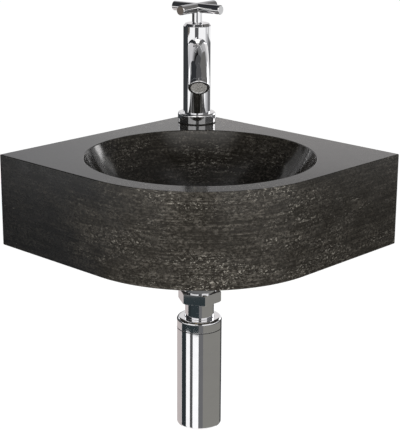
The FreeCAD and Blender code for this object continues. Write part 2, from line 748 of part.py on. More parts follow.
def trap_bottle():
    """Cup with a threaded outlet boss at the rear."""
    cup = cylinder(bottle_radius, bottle_bottom, bottle_top, bowl_y)
    cup = cup.makeFillet(bottle_rounding, circle_edges(cup, bottle_radius, bottle_bottom))
    axis_point = FreeCAD.Vector(0, bowl_y, outlet_z)
    cup = cup.fuse(rod(tail_radius, axis_point, backward, boss_end_y - bowl_y))
    cup = cup.cut(cylinder(bottle_bore, bottle_bottom + bottle_floor, bottle_top + overrun, bowl_y))
    stop_y = bottle_radius + outlet_stop_depth
    cup = cup.cut(rod(outlet_stop_radius, axis_point, backward, boss_end_y - bowl_y + overrun))
    return cup.cut(rod(outlet_bore, axis_point + backward * stop_y, backward, boss_end_y - bowl_y))


def outlet_seal():
    """Soft ring at the boss's end, squeezed on the wall tube by the nut."""
    boss_end = FreeCAD.Vector(0, boss_end_y, outlet_z)
    disc = rod(tail_radius - fit_gap, boss_end, backward, outlet_seal_thickness)
    return disc.cut(rod(outlet_bore, boss_end - backward * overrun, backward, 2 * overrun))


def outlet_nut():
    """Nut on the outlet boss, alike to the union nut."""
    nut = union_blank(half_turn / 2)
    nut.rotate(FreeCAD.Vector(0, 0, 0), side, half_turn / 2)
    outer_face = boss_end_y + outlet_seal_thickness + union_ledge
    nut.translate(FreeCAD.Vector(0, outer_face, outlet_z))
    return nut


pieces = (
    basin_block,
    tap_base_gasket,
    tap_base_ring,
    tap_body,
    tap_shank,
    shank_rubber_washer,
    shank_clamp_washer,
    shank_back_nut,
    spout_tube,
    aerator_housing,
    aerator_insert,
    aerator_seal,
    seat_seal,
    lower_ceramic_disc,
    upper_ceramic_disc,
    headwork_body,
    headwork_o_ring,
    spindle,
    spindle_o_ring,
    bonnet_cap,
    handle_cross_bar,
    handle_side_arms,
    handle_neck,
    handle_grub_screw,
    waste_upper_gasket,
    waste_body,
    waste_grid,
    waste_screw,
    waste_lower_gasket,
    waste_slip_washer,
    waste_back_nut,
    union_nut,
    union_washer,
    inlet_tube,
    trap_lid,
    lid_tube_seal,
    lid_seal,
    trap_bottle,
    outlet_seal,
    outlet_nut,
)

os.makedirs("parts", exist_ok=True)
for make in pieces:
    shape = make()
    shape.exportStep(os.path.join("parts", make.__name__ + ".step"))
    print(make.__name__, len(shape.Solids), shape.isValid(), round(shape.Volume))
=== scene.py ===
"""Looks of a dark stone corner hand basin with a chrome cold tap, a grid waste and a bottle trap.

Lengths are in metres. The rear corner of the block, in the plane of its rim, is the origin, +Z is up and the rounded
front faces -Y.
"""

import json
import logging
import math
from dataclasses import dataclass, field
from enum import Enum
from functools import cached_property
from typing import Any, Sequence

import bpy
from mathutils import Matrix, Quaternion, Vector

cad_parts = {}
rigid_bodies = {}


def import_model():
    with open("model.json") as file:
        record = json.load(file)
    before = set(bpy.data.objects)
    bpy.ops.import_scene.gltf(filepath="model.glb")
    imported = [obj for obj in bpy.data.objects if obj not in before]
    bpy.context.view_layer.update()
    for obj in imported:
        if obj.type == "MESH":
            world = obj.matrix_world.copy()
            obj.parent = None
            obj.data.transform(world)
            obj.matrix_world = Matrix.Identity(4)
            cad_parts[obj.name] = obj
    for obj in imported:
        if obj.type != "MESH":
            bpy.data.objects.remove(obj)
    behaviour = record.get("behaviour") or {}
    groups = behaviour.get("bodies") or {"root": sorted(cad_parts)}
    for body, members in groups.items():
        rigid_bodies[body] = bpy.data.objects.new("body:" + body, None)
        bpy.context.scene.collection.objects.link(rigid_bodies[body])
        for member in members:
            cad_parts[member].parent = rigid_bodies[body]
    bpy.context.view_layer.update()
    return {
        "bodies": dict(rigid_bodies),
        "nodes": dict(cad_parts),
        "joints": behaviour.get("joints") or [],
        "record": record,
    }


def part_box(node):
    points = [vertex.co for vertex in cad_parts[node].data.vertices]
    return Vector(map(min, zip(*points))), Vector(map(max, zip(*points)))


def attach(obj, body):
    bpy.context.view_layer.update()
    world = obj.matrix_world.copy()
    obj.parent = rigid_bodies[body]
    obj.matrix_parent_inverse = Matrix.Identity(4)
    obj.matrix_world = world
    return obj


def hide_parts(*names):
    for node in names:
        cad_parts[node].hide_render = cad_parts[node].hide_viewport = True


LOG = logging.getLogger("hand_basin")
MM = 0.001
STEPS = 128                      # facets round a turned piece
SLIM_STEPS = 96                  # facets round a slim one
HOLE_STEPS = 32                  # facets round a small hole
WELD = 0.002 * MM                # points nearer than this are one
SMOOTH_ANGLE = math.radians(32)  # edges flatter than this are shaded smooth
FACE_WEIGHT = 80                 # how much large faces steer the shading
SHARP_ANGLE = math.radians(50)   # edges sharper than this are rounded
FINE_EDGE = 0.2 * MM             # how far they are, on small pieces
UP = Vector((0, 0, 1))
RIGHT = Vector((1, 0, 0))
REAR = Vector((0, 1, 0))

Piece = bpy.types.Object
Socket = bpy.types.NodeSocket
Range = tuple[float, float]
Triple = tuple[float, float, float]
Colour = Triple
Corners = Sequence[Sequence[float]]


class Body(Enum):
    """Bodies of the frame that pieces ride on."""

    BASIN = "basin"
    HANDLE = "handle"


class Polish(Enum):
    """How a face of the stone was finished."""

    POLISHED = "polished"
    HONED = "honed"
    SAWN = "sawn"


class Shader:
    """Node tree of one material, or of a world, with short ways to add its nodes."""

    def __init__(self, name: str, world: bpy.types.World | None = None) -> None:
        """Starts a material, or takes a world.

        Args:
            name: the material's name.
            world: the world, where the nodes are for one.
        """
        self.owner = world or bpy.data.materials.new(name)
        self.owner.use_nodes = True
        self.tree = self.owner.node_tree
        self.surface = self.tree.nodes["Background" if world else "Principled BSDF"]

    @cached_property
    def place(self) -> Socket:
        """Place on the piece, in metres."""
        return self.node("TexCoord", {}).outputs["Object"]

    def node(self, kind: str, inputs: dict[Any, Any], **settings: Any) -> bpy.types.Node:
        """Adds a node.

        Args:
            kind: Blender's name of the node, without its common start.
            inputs: socket name or number, with what it is fed.
            settings: the node's own properties.

        Returns:
            The new node.
        """
        made = self.tree.nodes.new("ShaderNode" + kind)
        for name, value in settings.items():
            setattr(made, name, value)
        for socket, value in inputs.items():
            self.feed(made.inputs[socket], value)
        return made

    def feed(self, socket: Socket, value: Any) -> None:
        """Links or sets a socket.

        Args:
            socket: the socket that is fed.
            value: another socket, or a plain value; a colour is three numbers.
        """
        if isinstance(value, Socket):
            self.tree.links.new(value, socket)
        else:
            socket.default_value = (*value, 1) if socket.type == "RGBA" else value

    def set(self, **sockets: Any) -> None:
        """Feeds sockets of the surface shader; an underscore stands for a space."""
        for name, value in sockets.items():
            self.feed(self.surface.inputs[name.replace("_", " ")], value)

    def noise(self, scale: Triple, detail: float, rough: float, warp: float = 0) -> Socket:
        """Cloudy pattern from 0 to 1.

        Args:
            scale: clouds to the metre along each axis.
            detail: finer layers in the clouds.
            rough: how strong the finer layers are.
            warp: how far the clouds are drawn out of shape.

        Returns:
            The pattern's socket.
        """
        place = self.node("Mapping", {"Vector": self.place, "Scale": scale}).outputs[0]
        inputs = {"Vector": place, "Scale": 1, "Detail": detail, "Roughness": rough, "Distortion": warp}
        return self.node("TexNoise", inputs).outputs[0]

    def math(self, kind: str, first: Any, second: Any) -> Socket:
        """Result of a kind of sum with two values or sockets."""
        return self.node("Math", {0: first, 1: second}, operation=kind).outputs[0]

    def between(self, value: Socket, low: float, high: float, to_low: float = 0, to_high: float = 1) -> Socket:
        """Smooth step of a value from a low to a high end, with what it gives before and after them."""
        inputs = {"Value": value, "From Min": low, "From Max": high, "To Min": to_low, "To Max": to_high}
        return self.node("MapRange", inputs, interpolation_type="SMOOTHSTEP").outputs[0]

    def mix(self, share: Socket, first: Any, second: Any) -> Socket:
        """Mix of two colours, by a share."""
        return self.node("Mix", {0: share, 6: first, 7: second}, data_type="RGBA").outputs[2]

    def relief(self, height: Socket, depth: float) -> None:
        """Gives the surface a relief of a depth in metres."""
        self.set(Normal=self.node("Bump", {"Height": height, "Distance": depth}).outputs[0])

    def seen(self) -> Socket:
        """Tells rays of the camera, of mirrors and of glass from the rest.

        Returns:
            A socket that is 1 for them and 0 for the rest.
        """
        rays = self.node("LightPath", {}).outputs
        bounced = self.math("MAXIMUM", rays["Is Glossy Ray"], rays["Is Transmission Ray"])
        return self.math("MAXIMUM", rays["Is Camera Ray"], bounced)

    def show(self, light: bpy.types.Node) -> None:
        """Ends the material with a light that shows from its front and is clear from behind.

        Args:
            light: the shader node that shows.
        """
        behind = self.node("NewGeometry", {}).outputs["Backfacing"]
        clear = self.node("BsdfTransparent", {})
        blend = self.node("MixShader", {0: behind, 1: light.outputs[0], 2: clear.outputs[0]})
        self.feed(self.tree.nodes["Material Output"].inputs["Surface"], blend.outputs[0])


@dataclass(frozen=True)
class StoneFinish:
    """Dark limestone with level bedding, pale shell flecks in drifts, painted shade on its left and right sides, and
    one of three surfaces.
    """

    polish: Polish
    # Cool dark tone: random patches, and painted shade over the block's left side.
    cool_dark_and_shade: Colour = (0.0108, 0.0108, 0.0112)
    warm_dark: Colour = (0.0215, 0.0185, 0.0142)
    pale: Colour = (0.165, 0.149, 0.125)
    fleck: Colour = (0.47, 0.437, 0.376)
    gloss: dict[Polish, Range] = field(default_factory=lambda: {
        Polish.POLISHED: (0.12, 0.14), Polish.HONED: (0.20, 0.30), Polish.SAWN: (0.72, 0.9)})
    grain_depth: dict[Polish, float] = field(default_factory=lambda: {
        Polish.HONED: 0.02 * MM, Polish.SAWN: 0.35 * MM})

    def material(self) -> bpy.types.Material:
        """Makes the stone's material.

        Returns:
            The material.
        """
        shader = Shader(f"stone_{self.polish.value}")
        across = shader.node("SeparateXYZ", {0: shader.place}).outputs[0]
        cloud = shader.noise((7, 7, 13), 5, 0.6, 0.5)
        # Painted shade: the block's left side (x below -0.155 m) turns to the cool dark tone with few pale layers and
        # flecks, and its right side (x above 0.05 m) loses pale layers and flecks; the cloud adds random warm and cool
        # patches.
        warmth_and_left_shade = shader.math("ADD", shader.between(across, -0.155, -0.055), shader.between(cloud, 0.3, 0.7, -0.3, 0.3))
        richness_and_side_shade = shader.math("ADD", warmth_and_left_shade, shader.between(across, 0.05, 0.14, 0, -0.5))
        bedding = shader.noise((15, 15, 440), 6, 0.72, 0.25)
        grain = shader.noise((290, 290, 430), 5, 0.8)
        mottle = shader.noise((60, 60, 110), 4, 0.65)
        colour = shader.mix(shader.between(warmth_and_left_shade, 0.1, 0.9), self.cool_dark_and_shade, self.warm_dark)
        layers = shader.between(bedding, 0.36, 0.66, 0.12, 1)
        for share in (shader.between(grain, 0.40, 0.66, 0, 1.2), shader.between(mottle, 0.35, 0.65, 0.5, 1.25),
                      shader.between(richness_and_side_shade, 0, 1, 0.2, 1)):
            layers = shader.math("MULTIPLY", layers, share)
        flecks = self.flecks(shader, richness_and_side_shade)
        colour = shader.mix(flecks, shader.mix(layers, colour, self.pale), self.fleck)
        wear = shader.noise((45, 45, 90), 4, 0.6)
        shader.set(Base_Color=colour, Roughness=shader.between(wear, 0.3, 0.7, *self.gloss[self.polish]), IOR=1.46)
        if self.polish is not Polish.POLISHED:
            height = shader.math("ADD", grain, shader.math("MULTIPLY", flecks, -0.6))
            shader.relief(height, self.grain_depth[self.polish])
        return shader.owner

    def flecks(self, shader: Shader, richness_and_side_shade: Socket) -> Socket:
        """Mask of the pale flecks: ragged specks and longer shell pieces in level drifts, and lone specks.

        Args:
            shader: the material that they are in.
            richness_and_side_shade: pattern of where the stone has more of them, with fewer of them on its left and
                right sides as painted shade.

        Returns:
            The mask's socket.
        """
        drift = shader.between(shader.noise((12, 12, 40), 5, 0.7, 0.8), 0.44, 0.62)
        drift = shader.math("MULTIPLY", drift, shader.between(richness_and_side_shade, 0.25, 1, 0.04, 1))
        ragged = shader.noise((900, 900, 1200), 2, 0.6)
        masks = []
        for scale, detail, rough, fray, ends in (((300, 300, 520), 3, 0.7, 0.25, (0.70, 0.76)),
                                                 ((110, 110, 640), 3, 0.6, 0.22, (0.74, 0.81)),
                                                 ((190, 190, 260), 2, 0.6, 0.25, (0.90, 0.94))):
            frayed = shader.math("ADD", shader.noise(scale, detail, rough), shader.math("MULTIPLY", ragged, fray))
            masks.append(shader.between(frayed, *ends))
        specks, shells, lone = masks
        drifted = shader.math("MULTIPLY", shader.math("MAXIMUM", specks, shells), drift)
        return shader.math("MAXIMUM", drifted, lone)


@dataclass(frozen=True)
class MetalFinish:
    """Metal with faint wiping marks, and turning marks where it is only machined."""

    name: str
    colour: Colour
    dulled: Colour
    gloss: Range
    marks_depth: float = 0

    def material(self) -> bpy.types.Material:
        """Makes the metal's material.

        Returns:
            The material.
        """
        shader = Shader(self.name)
        film = shader.noise((38, 38, 60), 4, 0.6, 0.5)
        wiping = shader.noise((210, 210, 1500), 2, 0.5)
        haze = shader.math("ADD", shader.math("MULTIPLY", film, 0.7), shader.math("MULTIPLY", wiping, 0.3))
        shader.set(Metallic=1, Base_Color=shader.mix(shader.between(film, 0.35, 0.75), self.colour, self.dulled),
                   Roughness=shader.between(haze, 0.3, 0.75, *self.gloss))
        if self.marks_depth:
            shader.relief(shader.noise((60, 60, 5200), 3, 0.6), self.marks_depth)
        return shader.owner


@dataclass(frozen=True)
class MouldedFinish:
    """Rubber, plastic or ceramic: one colour, a little uneven, with a fine skin."""

    name: str
    colour: Colour
    uneven: Colour
    gloss: Range
    skin_scale: float
    skin_depth: float

    def material(self) -> bpy.types.Material:
        """Makes the moulded material.

        Returns:
            The material.
        """
        shader = Shader(self.name)
        cloud = shader.noise((70, 70, 70), 4, 0.6)
        skin = shader.noise((self.skin_scale,) * 3, 3, 0.6)
        shader.set(Base_Color=shader.mix(shader.between(cloud, 0.3, 0.7), self.colour, self.uneven),
                   Roughness=shader.between(skin, 0.3, 0.7, *self.gloss))
        shader.relief(skin, self.skin_depth)
        return shader.owner


class Finishes:
    """All materials of the basin, made once, by the slot that they belong to."""

    def __init__(self) -> None:
        """Makes the materials."""
        self.stone = {polish: StoneFinish(polish).material() for polish in Polish}
        kinds = (
            MetalFinish("chrome", (0.90, 0.90, 0.91), (0.86, 0.86, 0.875), (0.025, 0.06)),
            MetalFinish("brass", (0.66, 0.49, 0.22), (0.50, 0.35, 0.15), (0.20, 0.38), 0.02 * MM),
            MetalFinish("steel", (0.60, 0.60, 0.61), (0.50, 0.50, 0.51), (0.22, 0.36), 0.012 * MM),
            MouldedFinish("rubber", (0.022, 0.022, 0.023), (0.034, 0.033, 0.033), (0.55, 0.8), 2600, 0.03 * MM),
            MouldedFinish("ceramic", (0.83, 0.82, 0.78), (0.78, 0.77, 0.73), (0.12, 0.22), 900, 0.004 * MM),
            MouldedFinish("plastic", (0.62, 0.605, 0.575), (0.54, 0.525, 0.495), (0.30, 0.45), 1500, 0.015 * MM),
        )
        self.by_slot = {kind.name: kind.material() for kind in kinds}


@dataclass(frozen=True)
class Axis:
    """Line that a piece is turned about: a point on it, its direction and the side where the outline lies."""

    point: Vector
    along: Vector = UP
    across: Vector = RIGHT

    def place(self, across: float, along: float) -> Vector:
        """Point at a distance across from the line and along it."""
        return self.point + self.across * across + self.along * along


@dataclass(frozen=True)
class Span:
    """What the frame says of an upright round node: half its width and its two ends."""

    radius: float
    low: float
    high: float

    @classmethod
    def of(cls, node: str) -> "Span":
        """Reads a node of the frame."""
        low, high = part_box(node)
        return cls((high.x - low.x) / 2, low.z, high.z)


def frame_middle(node: str) -> Vector:
    """Middle of a node's box in the frame."""
    low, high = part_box(node)
    return (low + high) / 2


def upright(node: str) -> Axis:
    """Upright line through a node of the frame, from the rim plane."""
    return Axis(Vector((0, frame_middle(node).y, 0)))


def outward(azimuth: float, elevation: float) -> Vector:
    """Way out from the basin, by degrees: azimuth 0 is the front and 90 the right."""
    a, e = math.radians(azimuth), math.radians(elevation)
    return Vector((math.sin(a) * math.cos(e), -math.cos(a) * math.cos(e), math.sin(e)))


def rounded(corners: Corners, bits: int) -> list[Range]:
    """Closed outline through corners, each rounded by its own arc.

    Args:
        corners: (across, along) or (across, along, rounding) of each corner, in order.
        bits: straight bits in an arc.

    Returns:
        The outline, with its first point again at its end.
    """
    outline: list[Range] = []
    spots = [Vector(corner[:2]) for corner in corners]
    for number, corner in enumerate(corners):
        spot = spots[number]
        rounding = corner[2] if len(corner) > 2 else 0
        if not rounding:
            outline.append((spot.x, spot.y))
            continue
        before = (spots[number - 1] - spot).normalized()
        after = (spots[(number + 1) % len(spots)] - spot).normalized()
        half = before.angle(after) / 2
        centre = spot + (before + after).normalized() * (rounding / math.sin(half))
        first = spot + before * (rounding / math.tan(half)) - centre
        last = spot + after * (rounding / math.tan(half)) - centre
        for bit in range(bits + 1):
            point = centre + first.slerp(last, bit / bits).normalized() * rounding
            outline.append((point.x, point.y))
    return outline + outline[:1]


def named(name: str) -> Piece:
    """Names the object that an operator has just added."""
    bpy.context.object.name = bpy.context.object.data.name = name
    return bpy.context.object


def edit(action: str = "SELECT") -> None:
    """Goes to edit mode, with all of the active piece selected or none of it."""
    bpy.ops.object.mode_set(mode="EDIT")
    bpy.ops.mesh.select_all(action=action)


def leave() -> None:
    """Goes back to object mode."""
    bpy.ops.object.mode_set(mode="OBJECT")


def weld() -> None:
    """Joins points that coincide and turns faces outwards, all over the piece in edit mode."""
    bpy.ops.mesh.select_all(action="SELECT")
    bpy.ops.mesh.remove_doubles(threshold=WELD)
    bpy.ops.mesh.normals_make_consistent(inside=False)


def join(*pieces: Piece) -> Piece:
    """Makes pieces the only ones selected and joins them into the first, which becomes the active one.

    Args:
        pieces: one piece or more.

    Returns:
        The first piece.
    """
    bpy.ops.object.select_all(action="DESELECT")
    for piece in pieces:
        piece.select_set(True)
    bpy.context.view_layer.objects.active = pieces[0]
    if len(pieces) > 1:
        bpy.ops.object.join()
    return pieces[0]


def modifier(kind: str, **settings: Any) -> None:
    """Adds a modifier to the active piece and applies it.

    Args:
        kind: Blender's name of the modifier.
        settings: its properties.
    """
    bpy.ops.object.modifier_add(type=kind)
    made = bpy.context.object.modifiers[-1]
    for name, value in settings.items():
        setattr(made, name, value)
    bpy.ops.object.modifier_apply(modifier=made.name)


def soften(width: float, segments: int = 2) -> None:
    """Rounds the sharp edges of the active piece."""
    modifier("BEVEL", width=width, segments=segments, limit_method="ANGLE", angle_limit=SHARP_ANGLE)


def settle(piece: Piece) -> None:
    """Ends a piece: its place goes into its mesh, faces point outwards and shading is smooth but for sharp edges.

    Args:
        piece: the modelled piece.
    """
    join(piece)
    bpy.ops.object.transform_apply(location=True, rotation=True, scale=True)
    edit()
    bpy.ops.mesh.remove_doubles(threshold=WELD)
    bpy.ops.mesh.dissolve_degenerate(threshold=WELD)
    bpy.ops.mesh.select_all(action="SELECT")
    bpy.ops.mesh.normals_make_consistent(inside=False)
    leave()
    bpy.ops.object.shade_smooth_by_angle(angle=SMOOTH_ANGLE)
    modifier("WEIGHTED_NORMAL", keep_sharp=True, weight=FACE_WEIGHT)


def combine(piece: Piece, *tools: Piece, kind: str = "DIFFERENCE") -> Piece:
    """Cuts, joins or crosses a piece with tool solids that don't touch each other.

    Args:
        piece: the piece that is worked on.
        tools: the solids, which are removed.
        kind: DIFFERENCE, UNION or INTERSECT.

    Returns:
        The piece.
    """
    tool = join(*tools)
    join(piece)
    modifier("BOOLEAN", operation=kind, object=tool, solver="EXACT")
    bpy.data.objects.remove(tool, do_unlink=True)
    return piece


def sweep(name: str, axis: Axis, outline: Sequence[Range], steps: int, angle: float = math.tau) -> Piece:
    """Spins a line of points about an axis.

    Args:
        name: the piece's name.
        axis: the line it is spun about.
        outline: (across, along) points.
        steps: facets round the piece.
        angle: how far it is spun.

    Returns:
        The piece.
    """
    last = axis.place(*outline[0])
    bpy.ops.mesh.primitive_plane_add(size=MM, location=last)
    piece = named(name)
    edit()
    bpy.ops.mesh.merge(type="CENTER")
    for point in outline[1:]:
        spot = axis.place(*point)
        bpy.ops.mesh.extrude_vertices_move(TRANSFORM_OT_translate={"value": spot - last})
        last = spot
    weld()
    bpy.ops.mesh.spin(steps=steps, angle=angle, center=axis.point, axis=axis.along)
    weld()
    leave()
    return piece


def turn(name: str, axis: Axis, corners: Corners, bits: int = 6, steps: int = STEPS) -> Piece:
    """Solid turned about an axis, from corners as rounded takes them."""
    return sweep(name, axis, rounded(corners, bits), steps)


def drill(name: str, axis: Axis, radius: float, low: float, high: float, steps: int = 64) -> Piece:
    """Round tool along an axis, between two distances along it."""
    return turn(name, axis, ((0, low), (radius, low), (radius, high), (0, high)), steps=steps)


def slab(name: str, middle: Vector, size: Sequence[float]) -> Piece:
    """Box about a middle, with a size along each axis."""
    bpy.ops.mesh.primitive_cube_add(size=1, location=middle, scale=size)
    return named(name)


def ring(name: str, axis: Axis, radii: Range, ends: Range, rounding: float) -> Piece:
    """Turned ring with an outer and an inner radius, two ends along its line and rounded edges."""
    order = ((1, 0), (0, 0), (0, 1), (1, 1))
    return turn(name, axis, [(radii[side], ends[end], rounding) for side, end in order], bits=4)


def hexagon_nut(name: str, axis: Axis, flats: float, blank: Corners, corner_angle: float) -> Piece:
    """Nut: a hexagon bar crossed with a turned blank that has its bore and its chamfered ends.

    Args:
        name: the nut's name.
        axis: the nut's line.
        flats: distance across flats.
        blank: corners of the turned blank.
        corner_angle: direction of one corner about the axis, from the axis's across side.

    Returns:
        The nut.
    """
    ends = [corner[1] for corner in blank]
    bar = Axis(axis.point, axis.along, Quaternion(axis.along, corner_angle) @ axis.across)
    nut = drill(name, bar, flats / math.sqrt(3), min(ends) - MM, max(ends) + MM, steps=6)
    combine(nut, turn(name + "_blank", axis, blank), kind="INTERSECT")
    soften(FINE_EDGE)
    return nut


def thread(radius: float, low: float, high: float, pitch: float, depth: float = 0.55,
           crest: Range = (0.4, 0.6)) -> list[Range]:
    """Corners up the flank of a thread: ridges that end at the radius.

    Args:
        radius: outer radius of the ridges.
        low: start along the thread.
        high: end along it.
        pitch: distance from ridge to ridge, about.
        depth: height of a ridge, as a share of the pitch.
        crest: where a ridge's flat top starts and ends, as shares of the distance.

    Returns:
        The corners.
    """
    count = max(1, round((high - low) / pitch))
    step, root = (high - low) / count, radius - depth * pitch
    corners = []
    for number in range(count):
        foot = low + number * step
        corners += [(root, foot), *((radius, foot + step * share) for share in crest)]
    return corners + [(root, high)]


@dataclass
class Assembly:
    """Sub-assembly whose pieces ride on one body and stand for nodes of the frame."""

    finishes: Finishes
    body: Body = Body.BASIN
    play: float = 0.1 * MM
    chamfer: float = 0.8 * MM
    axis: Axis = field(init=False)

    def dress(self, piece: Piece, slot: str, node: str) -> None:
        """Gives a piece its finish, its body and the node that it stands for, and reports it.

        Args:
            piece: the modelled piece.
            slot: the record's material slot.
            node: the node of the frame that it stands for.
        """
        settle(piece)
        if not piece.data.materials:
            piece.data.materials.append(self.finishes.by_slot[slot])
        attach(piece, self.body.value)
        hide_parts(node)
        LOG.info("%s: %d faces, %s", piece.name, len(piece.data.polygons), slot)

    def lathe(self, name: str, slot: str, node: str, corners: Corners, bits: int = 6, steps: int = STEPS) -> None:
        """Turns a piece about the assembly's axis and dresses it."""
        self.dress(turn(name, self.axis, corners, bits, steps), slot, node)

    def rings(self, inner: float, *rows: tuple[str, str, float]) -> None:
        """Models and dresses upright flat rings.

        Args:
            inner: radius of their hole.
            rows: node, slot and edge rounding in millimetres of each ring.
        """
        for node, slot, rounding in rows:
            span = Span.of(node)
            made = ring("flat_" + node, self.axis, (span.radius, inner), (span.low, span.high), rounding * MM)
            self.dress(made, slot, node)

    def blank(self, bore: float, flats: float, low: float, high: float) -> list[Range]:
        """Turned blank of a nut, with a plain bore and both ends chamfered.

        Args:
            bore: radius of the bore.
            flats: the nut's distance across flats.
            low: start along the nut's line.
            high: end along it.

        Returns:
            The blank's corners.
        """
        wide, cut = flats / math.sqrt(3) + self.play, self.chamfer
        slim = wide - cut * math.sqrt(3)
        return [(bore, low), (slim, low), (wide, low + cut), (wide, high - cut), (slim, high), (bore, high)]

    def back_nut(self, name: str, node: str, bore: float, flats: float) -> None:
        """Models and dresses a brass hexagon nut with a plain bore.

        Args:
            name: the nut's name.
            node: the node of the frame that it stands for.
            bore: radius of its bore.
            flats: distance across flats.
        """
        span = Span.of(node)
        nut = hexagon_nut(name, self.axis, flats, self.blank(bore, flats, span.low, span.high), 0)
        self.dress(nut, "brass", node)


@dataclass
class StoneBlock(Assembly):
    """The block: two straight backs, a round front, a bowl that is part of a sphere, its holes and rear recess."""

    wall_length: float = 300 * MM
    front_rim: float = 22 * MM
    wall_rim: float = 32 * MM
    bowl_depth: float = 80 * MM
    edge_rounding: float = 1.0 * MM
    bowl_rounding: float = 1.5 * MM
    seat_radius: float = 33 * MM
    waste_hole: float = 22.5 * MM
    tap_hole: float = 14 * MM
    ledge: float = 30 * MM
    recess_radius: float = 84 * MM
    stud_hole: float = 6 * MM
    stud_depth: float = 50 * MM
    stud_drop: float = 55 * MM
    stud_places: Range = (100 * MM, 210 * MM)
    overrun: float = 12 * MM
    proud: float = 0.02 * MM     # the bowl's rounding ends this far above the rim, so that the cut is clean
    front_steps: int = 96
    bowl_steps: int = 192
    rim_bits: int = 8
    arc_steps: int = 48
    recess_steps: int = 160
    stud_steps: int = 48

    def __post_init__(self) -> None:
        """Works out what follows from the driving sizes; the axis is the bowl's."""
        low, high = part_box("basin_block")
        self.height = high.z - low.z
        self.bowl_radius = (self.wall_length - self.wall_rim - self.front_rim) / 2
        self.front_radius = self.bowl_radius + self.front_rim
        self.axis = Axis(Vector((0, -math.sqrt(2) * (self.wall_length - self.front_radius), 0)))
        self.sphere = (self.bowl_radius ** 2 + self.bowl_depth ** 2) / (2 * self.bowl_depth)

    def build(self) -> None:
        """Models the block and gives each face its finish."""
        block = self.plan()
        combine(block, turn("bowl_tool", self.axis, self.bowl_corners(), self.rim_bits, self.bowl_steps))
        combine(block, drill("recess_tool", Axis(Vector()), self.recess_radius, -self.height - self.overrun,
                             -self.ledge, self.recess_steps))
        tools = [drill("tap_hole_tool", upright("tap_body"), self.tap_hole, -self.ledge - self.overrun, self.overrun)]
        for side in (-1, 1):
            wall, way = (Vector((side, forward, 0)).normalized() for forward in (-1, 1))
            for place in self.stud_places:
                mouth = Axis(wall * place - UP * self.stud_drop, way, UP)
                tools.append(drill("stud_tool", mouth, self.stud_hole, -self.stud_depth, self.overrun, self.stud_steps))
        combine(block, *tools)
        for polish in Polish:
            block.data.materials.append(self.finishes.stone[polish])
        self.dress(block, "stone", "basin_block")
        self.polish(block)

    def plan(self) -> Piece:
        """Square plate with its front corner rounded, drawn down to the block's height, with softened edges.

        Returns:
            The block without its bowl and holes.
        """
        half_diagonal = self.wall_length / math.sqrt(2)
        bpy.ops.mesh.primitive_plane_add(size=self.wall_length, location=(0, -half_diagonal, 0),
                                         rotation=(0, 0, math.radians(45)))
        block = named("stone_block")
        edit("DESELECT")
        bpy.ops.mesh.select_mode(type="VERT")
        leave()
        for corner in block.data.vertices:
            corner.select = (block.matrix_world @ corner.co).y < -1.5 * half_diagonal
        bpy.ops.object.mode_set(mode="EDIT")
        bpy.ops.mesh.bevel(offset=self.front_radius, offset_type="OFFSET", affect="VERTICES",
                           segments=self.front_steps, profile=0.5)
        bpy.ops.mesh.select_all(action="SELECT")
        bpy.ops.mesh.extrude_region_move(TRANSFORM_OT_translate={"value": (0, 0, -self.height)})
        weld()
        leave()
        soften(self.edge_rounding, segments=4)
        return block

    def bowl_corners(self) -> Corners:
        """Corners of the solid that the bowl, the waste's seat and its hole are cut with.

        Returns:
            The corners, from the bottom up.
        """
        first, last = (math.asin(radius / self.sphere) for radius in (self.seat_radius, self.bowl_radius))
        arc = []
        for bit in range(self.arc_steps):
            angle = first + (last - first) * bit / self.arc_steps
            arc.append((self.sphere * math.sin(angle),
                        self.sphere - self.bowl_depth - self.sphere * math.cos(angle)))
        bottom, floor, top = -self.height - self.overrun, -self.bowl_depth, self.bowl_radius + 2 * self.bowl_rounding
        return [(0, bottom), (self.waste_hole, bottom), (self.waste_hole, floor), (self.seat_radius, floor), *arc,
                (self.bowl_radius, self.proud, self.bowl_rounding), (top, self.proud), (top, self.overrun),
                (0, self.overrun)]

    def polish(self, block: Piece) -> None:
        """Polishes the top and the bowl, hones the upright faces and leaves the rest sawn.

        Args:
            block: the finished block.
        """
        kinds = list(Polish)
        centre = self.axis.place(0, self.sphere - self.bowl_depth)
        for face in block.data.polygons:
            spot, kind = face.center, Polish.SAWN
            in_bowl = abs((spot - centre).length - self.sphere) < MM and spot.z > -self.bowl_depth
            if in_bowl or spot.z > -2 * self.edge_rounding:
                kind = Polish.POLISHED
            elif spot.z > -self.height + self.edge_rounding and self.outside(spot):
                kind = Polish.HONED
            face.material_index = kinds.index(kind)

    def outside(self, spot: Vector) -> bool:
        """Says whether a place lies on the block's outer upright faces that show when it hangs in its corner."""
        from_bowl = (spot - self.axis.point).xy.length
        return from_bowl > self.front_radius - MM and spot.y < -self.recess_radius


